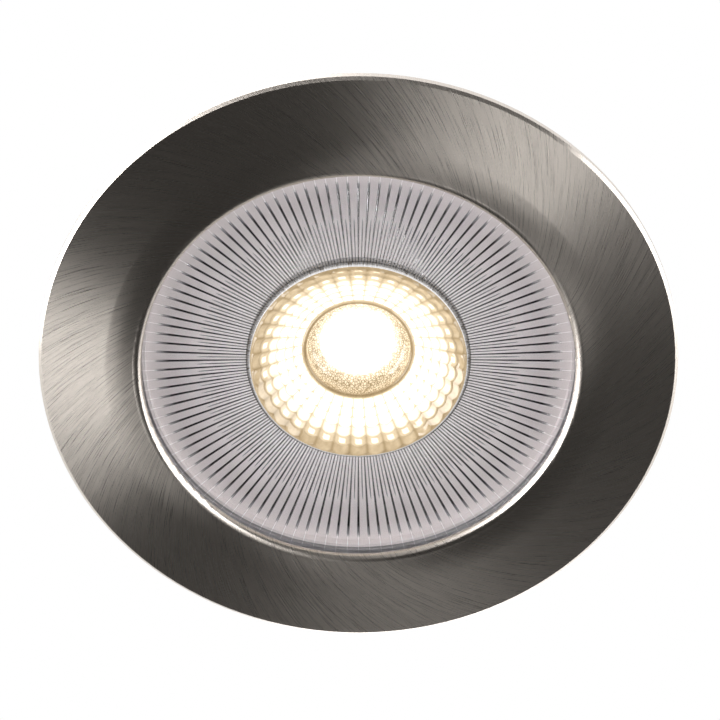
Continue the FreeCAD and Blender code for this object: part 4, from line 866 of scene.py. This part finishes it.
@dataclass
class CrossScrews:
    """All screws of one kind: threaded shafts, rounded heads and a tapering cross recess in each.

    Sizes in millimetres. A place is the seat of a pan head, or the level face of a countersunk one, and
    the direction that the head points in. The root and the tip are shares of a radius, the bite is the
    recess's depth as a share of the head's height, and the crown is in shares of radius and height.
    """

    name: str
    node: str
    body: str
    shaft: float
    length: float
    head: float
    height: float
    places: list[tuple[Point, Point]]
    form: Head = Head.PAN
    pitch: float = 0.5
    root: float = 0.84
    tip: float = 0.55
    lead_in: float = 0.25
    run_out: float = 0.3
    chamfer: float = 0.06
    eased: float = 0.97
    bite: float = 0.62
    recess_edge: float = 0.05
    arm: float = 0.26
    sharp: float = 35.0
    crown: tuple[tuple[float, float], ...] = (
        (0.96, 0.0), (1.0, 0.1), (1.0, 0.5), (0.96, 0.68), (0.86, 0.84), (0.72, 0.95), (0.6, 1.0),
    )

    def outline(self) -> list[tuple[float, float, bool]]:
        """Section from the tip to the middle of the recess.

        Returns:
            Radius and height of each point above the seat, and whether its plan is the cross.
        """
        crest, rim = self.shaft / 2, self.head / 2
        root = crest * self.root
        pan = self.form is Head.PAN
        thread_end = 0.0 if pan else -self.height
        points = [(0.0, -self.length), (root * self.tip, -self.length)]
        for turn in range(int((self.length + thread_end - self.run_out) / self.pitch)):
            low = -self.length + self.lead_in + turn * self.pitch
            points += [(root, low), (crest, low + self.pitch * 0.4), (root, low + self.pitch * 0.8)]
        if pan:
            points.append((root, 0.0))
            points += [(rim * out, self.height * up) for out, up in self.crown]
        else:
            points += [(crest, -self.height), (rim * self.eased, -2 * self.chamfer), (rim, -self.chamfer)]
            points.append((rim * self.eased, 0.0))
        top = self.height if pan else 0.0
        floor = self.height * self.bite
        recess = [(0.52, top), (0.5, top - self.recess_edge), (0.34, top - floor), (0.0, top - floor * 1.1)]
        return [(out, up, False) for out, up in points] + [(rim * out, up, True) for out, up in recess]

    def cross(self) -> list[tuple[float, float]]:
        """Plan of the recess: a cross of unit reach, its corners and the points halfway between them.

        Returns:
            The closed plan, its first point again at the end.
        """
        corners = []
        for turn in range(4):
            cos, sin = math.cos(math.pi / 2 * turn), math.sin(math.pi / 2 * turn)
            for x, y in ((1.0, -self.arm), (1.0, self.arm), (self.arm, self.arm)):
                corners.append((x * cos - y * sin, x * sin + y * cos))
        plan = []
        for (x0, y0), (x1, y1) in zip(corners, corners[1:] + corners[:1]):
            plan += [(x0, y0), ((x0 + x1) / 2, (y0 + y1) / 2)]
        return plan + plan[:1]

    def screw(self, place: Point, axis: Point) -> bpy.types.Mesh:
        """Rolls a grid round one screw's axis.

        Args:
            place: where the screw sits.
            axis: where its head points.

        Returns:
            The screw's mesh.
        """
        outline, plan = self.outline(), self.cross()
        lines, across = len(outline) - 1, len(plan) - 1
        bm = bmesh.new()
        bmesh.ops.create_grid(bm, x_segments=lines, y_segments=across, size=0.5)
        turn = Vector(axis).to_track_quat("Z", "Y")
        for v in bm.verts:
            radius, height, crossed = outline[round((v.co.x + 0.5) * lines)]
            x, y = plan[round((v.co.y + 0.5) * across)]
            reach = radius if crossed else radius / math.hypot(x, y)
            v.co = (turn @ Vector((x * reach, y * reach, height)) + Vector(place)) * MM
        bmesh.ops.remove_doubles(bm, verts=bm.verts, dist=0.000001)
        bmesh.ops.recalc_face_normals(bm, faces=bm.faces)
        mesh = bpy.data.meshes.new(self.name)
        bm.to_mesh(mesh)
        bm.free()
        return mesh

    def build(self) -> bpy.types.Object:
        """Models every screw of the kind.

        Returns:
            The finished screws, as one piece.
        """
        whole = bmesh.new()
        for place, axis in self.places:
            mesh = self.screw(place, axis)
            whole.from_mesh(mesh)
            bpy.data.meshes.remove(mesh)
        for face in whole.faces:
            face.smooth = True
        for edge in whole.edges:
            edge.smooth = len(edge.link_faces) == 2 and edge.calc_face_angle() < math.radians(self.sharp)
        screws = mesh_object(self.name, whole)
        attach(screws, self.body)
        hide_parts(self.node)
        return screws


def screw_kinds() -> list[CrossScrews]:
    """Lists every kind of screw in the light.

    Returns:
        One entry for each kind.
    """
    up, down, flush = (0.0, 0.0, 1.0), (0.0, 0.0, -1.0), Head.FLUSH
    collar_radius, collar_height, bracket_reach = 32.95, 3.5, 23.15
    holder_seat, box_seat, strap_seat, lid_seat = 8.9, 32.0, 39.1, 45.2
    ring = []
    for turn in (45, 135, 225, 315):
        out = (math.cos(math.radians(turn)), math.sin(math.radians(turn)), 0.0)
        ring.append(((collar_radius * out[0], collar_radius * out[1], collar_height), out))
    straps = [((x, y, strap_seat), up) for x in (-10.5, 10.5) for y in (-6.2, 4.2)]
    box = [((x, y, box_seat), up) for x, y in ((-12.6, 13.5), (12.6, 13.5), (0.0, -18.0))]
    clips = []
    for side in (-1.0, 1.0):
        clips += [((side * bracket_reach, 0.0, z), (side, 0.0, 0.0)) for z in (16.8, 27.0)]
    holder = [((x, 0.0, holder_seat), down) for x in (-12.2, 12.2)]
    lid = [((0.0, -6.2, lid_seat), up)]
    return [
        CrossScrews("ring_screws", "trim_screws", "luminaire", 2.5, 3.7, 4.4, 1.2, ring, flush),
        CrossScrews("strap_screws", "clamp_screws", "luminaire", 1.8, 5.4, 3.4, 1.3, straps),
        CrossScrews("terminal_box_screws", "box_screws", "luminaire", 2.4, 8.0, 4.8, 1.6, box, pitch=0.7),
        CrossScrews("lid_closing_screw", "lid_screw", "box_lid", 3.0, 4.6, 5.6, 1.5, lid),
        CrossScrews("source_holder_screws", "led_holder_screws", "luminaire", 2.5, 6.5, 4.2, 1.4, holder),
        CrossScrews("clip_bracket_screws", "bracket_screws", "luminaire", 3.0, 5.5, 5.0, 1.0, clips, flush),
    ]


@dataclass(frozen=True)
class SoftLamp:
    """A round soft lamp that faces the light.

    Its place is given by the angle from straight down, the angle round the vertical and its distance.
    """

    name: str
    tilt: float
    azimuth: float
    spread: float
    radiance: float
    distance: float = 1.1

    def build(self) -> None:
        """Adds the lamp to the scene."""
        tilt, azimuth = math.radians(self.tilt), math.radians(self.azimuth)
        aside = math.sin(tilt)
        away = Vector((aside * math.cos(azimuth), aside * math.sin(azimuth), -math.cos(tilt)))
        radius = self.distance * math.tan(math.radians(self.spread))
        data = bpy.data.lights.new(self.name, "AREA")
        data.shape = "DISK"
        data.size = 2 * radius
        data.energy = self.radiance * math.pi * math.pi * radius ** 2
        lamp = bpy.data.objects.new(self.name, data)
        lamp.location = away * self.distance
        lamp.rotation_mode = "QUATERNION"
        lamp.rotation_quaternion = (-away).to_track_quat("-Z", "Y")
        lamp.visible_camera = False
        bpy.context.scene.collection.objects.link(lamp)


@dataclass
class Studio:
    """Floor, dark cloths, lamps and camera round the hanging light. Lengths in metres, the lens in mm."""

    floor_tones: tuple[Colour, Colour] = ((0.80, 0.80, 0.80), (0.78, 0.78, 0.78))
    floor_glow: float = 0.5
    cloth_tones: tuple[Colour, Colour] = ((0.035, 0.034, 0.033), (0.028, 0.027, 0.026))
    floor_drop: float = 2.0
    floor_size: float = 14.0
    cloth_radius: float = 1.7
    cloth_top: float = -0.05
    lamps: tuple[SoftLamp, ...] = (
        SoftLamp("left_softbox", 67.3, 179.0, 27.0, 8.5),
        SoftLamp("right_softbox", 59.2, 356.0, 24.0, 5.4),
        SoftLamp("upper_left_softbox", 140.0, 215.0, 22.0, 3.2),
        SoftLamp("upper_right_softbox", 125.0, 320.0, 18.0, 2.4),
        SoftLamp("upper_back_softbox", 130.0, 80.0, 18.0, 2.2),
    )
    distance: float = 1.1
    elevation: float = -60.6
    lens: float = 414.0
    aim_z: float = -2.3 * MM
    aim_right: float = 0.21 * MM
    aim_down: float = -0.21 * MM
    ambient: float = 0.42

    def build(self) -> None:
        """Makes the stage, the world, the lamps and the camera."""
        self.floor()
        self.cloth()
        self.world()
        for lamp in self.lamps:
            lamp.build()
        self.camera()

    def floor(self) -> None:
        """Makes the plain pale floor far below the light."""
        bm = bmesh.new()
        bmesh.ops.create_grid(bm, x_segments=1, y_segments=1, size=self.floor_size / 2)
        bmesh.ops.translate(bm, verts=bm.verts, vec=(0.0, 0.0, -self.floor_drop))
        floor = mesh_object("stage_floor", bm)
        g = Graph("floor_paint")
        shader = g.surface(roughness=0.9, emission_color=(1.0, 1.0, 1.0))
        g.paint(g.remap(g.noise(g.place(), 1.4), 0.0, 1.0), *self.floor_tones)
        path = g.add("LightPath")
        seen = g.maths("MAXIMUM", path.outputs["Is Camera Ray"], path.outputs["Is Transmission Ray"])
        seen = g.maths("MAXIMUM", seen, path.outputs["Is Glossy Ray"])
        g.join(g.maths("MULTIPLY", seen, self.floor_glow), shader.inputs["Emission Strength"])
        floor.data.materials.append(g.material)

    def cloth(self) -> None:
        """Hangs dark cloths below and round the light, out of the picture, for the metal to reflect."""
        bm = bmesh.new()
        bmesh.ops.create_icosphere(bm, subdivisions=4, radius=self.cloth_radius)
        upper = [v for v in bm.verts if v.co.z > self.cloth_top]
        bmesh.ops.delete(bm, geom=upper, context="VERTS")
        cloth = mesh_object("stage_dark_cloth", bm)
        g = Graph("dark_cloth")
        g.surface(roughness=1.0)
        g.paint(g.remap(g.noise(g.place(), 6.0), 0.0, 1.0), *self.cloth_tones)
        cloth.data.materials.append(g.material)
        cloth.visible_camera = cloth.visible_diffuse = cloth.visible_shadow = False

    def world(self) -> None:
        """Makes an even grey sky that is white where it is seen."""
        world = bpy.data.worlds.new("studio")
        bpy.context.scene.world = world
        world.use_nodes = True
        tree = world.node_tree
        tree.nodes.clear()
        output = tree.nodes.new("ShaderNodeOutputWorld")
        sky = tree.nodes.new("ShaderNodeBackground")
        sky.inputs["Color"].default_value = (1.0, 1.0, 1.0, 1.0)
        path = tree.nodes.new("ShaderNodeLightPath")
        seen = path.outputs["Is Camera Ray"]
        for kind in ("Is Glossy Ray", "Is Transmission Ray"):
            either = tree.nodes.new("ShaderNodeMath")
            either.operation = "MAXIMUM"
            tree.links.new(path.outputs[kind], either.inputs[0])
            tree.links.new(seen, either.inputs[1])
            seen = either.outputs["Value"]
        level = tree.nodes.new("ShaderNodeMapRange")
        level.inputs["To Min"].default_value = self.ambient
        level.inputs["To Max"].default_value = 1.0
        tree.links.new(seen, level.inputs["Value"])
        tree.links.new(level.outputs["Result"], sky.inputs["Strength"])
        tree.links.new(sky.outputs["Background"], output.inputs["Surface"])

    def camera(self) -> None:
        """Sets the camera under the light, at the photograph's angle."""
        data = bpy.data.cameras.new("camera")
        data.lens = self.lens
        data.sensor_width = 36.0
        data.clip_start = 0.05
        data.clip_end = 30.0
        camera = bpy.data.objects.new("camera", data)
        slope = math.radians(self.elevation)
        back = Vector((0.0, -math.cos(slope), math.sin(slope)))
        turn = (-back).to_track_quat("-Z", "Y")
        right = turn @ Vector((1.0, 0.0, 0.0))
        down = turn @ Vector((0.0, -1.0, 0.0))
        aim = Vector((0.0, 0.0, self.aim_z)) + right * self.aim_right + down * self.aim_down
        camera.location = aim + back * self.distance
        camera.rotation_mode = "QUATERNION"
        camera.rotation_quaternion = turn
        bpy.context.scene.collection.objects.link(camera)
        bpy.context.scene.camera = camera


def mesh_object(name: str, bm: bmesh.types.BMesh) -> bpy.types.Object:
    """Turns a bmesh into an object in the scene.

    Args:
        name: name of the object.
        bm: the finished bmesh, freed here.

    Returns:
        The object, at the origin.
    """
    mesh = bpy.data.meshes.new(name)
    bm.to_mesh(mesh)
    bm.free()
    made = bpy.data.objects.new(name, mesh)
    bpy.context.scene.collection.objects.link(made)
    return made


def main() -> None:
    """Builds the looks of the light over the loaded frame."""
    logging.basicConfig(level=logging.INFO, format="%(name)s: %(message)s")
    bpy.context.scene.view_settings.view_transform = "Standard"
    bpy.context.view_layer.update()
    finishes = Finishes()
    finishes.build()
    slots = {part["node"]: part["material_slot"] for part in frame["record"]["subparts"]}
    for name, node in frame["nodes"].items():
        finishes.dress(node, slots[name])
        log.info("%s wears %s", name, slots[name])
    for piece, slot in ((CentreOptic(), "warm_optic"), (RibbedLens(), "clear_lens")):
        made = piece.build()
        finishes.dress(made, slot)
        log.info("%s has %d faces", made.name, len(made.data.polygons))
    for kind in screw_kinds():
        screws = kind.build()
        finishes.dress(screws, "zinc_steel")
        log.info("%s holds %d screws", screws.name, len(kind.places))
    Studio().build()


if __name__ == "__main__":
    main()
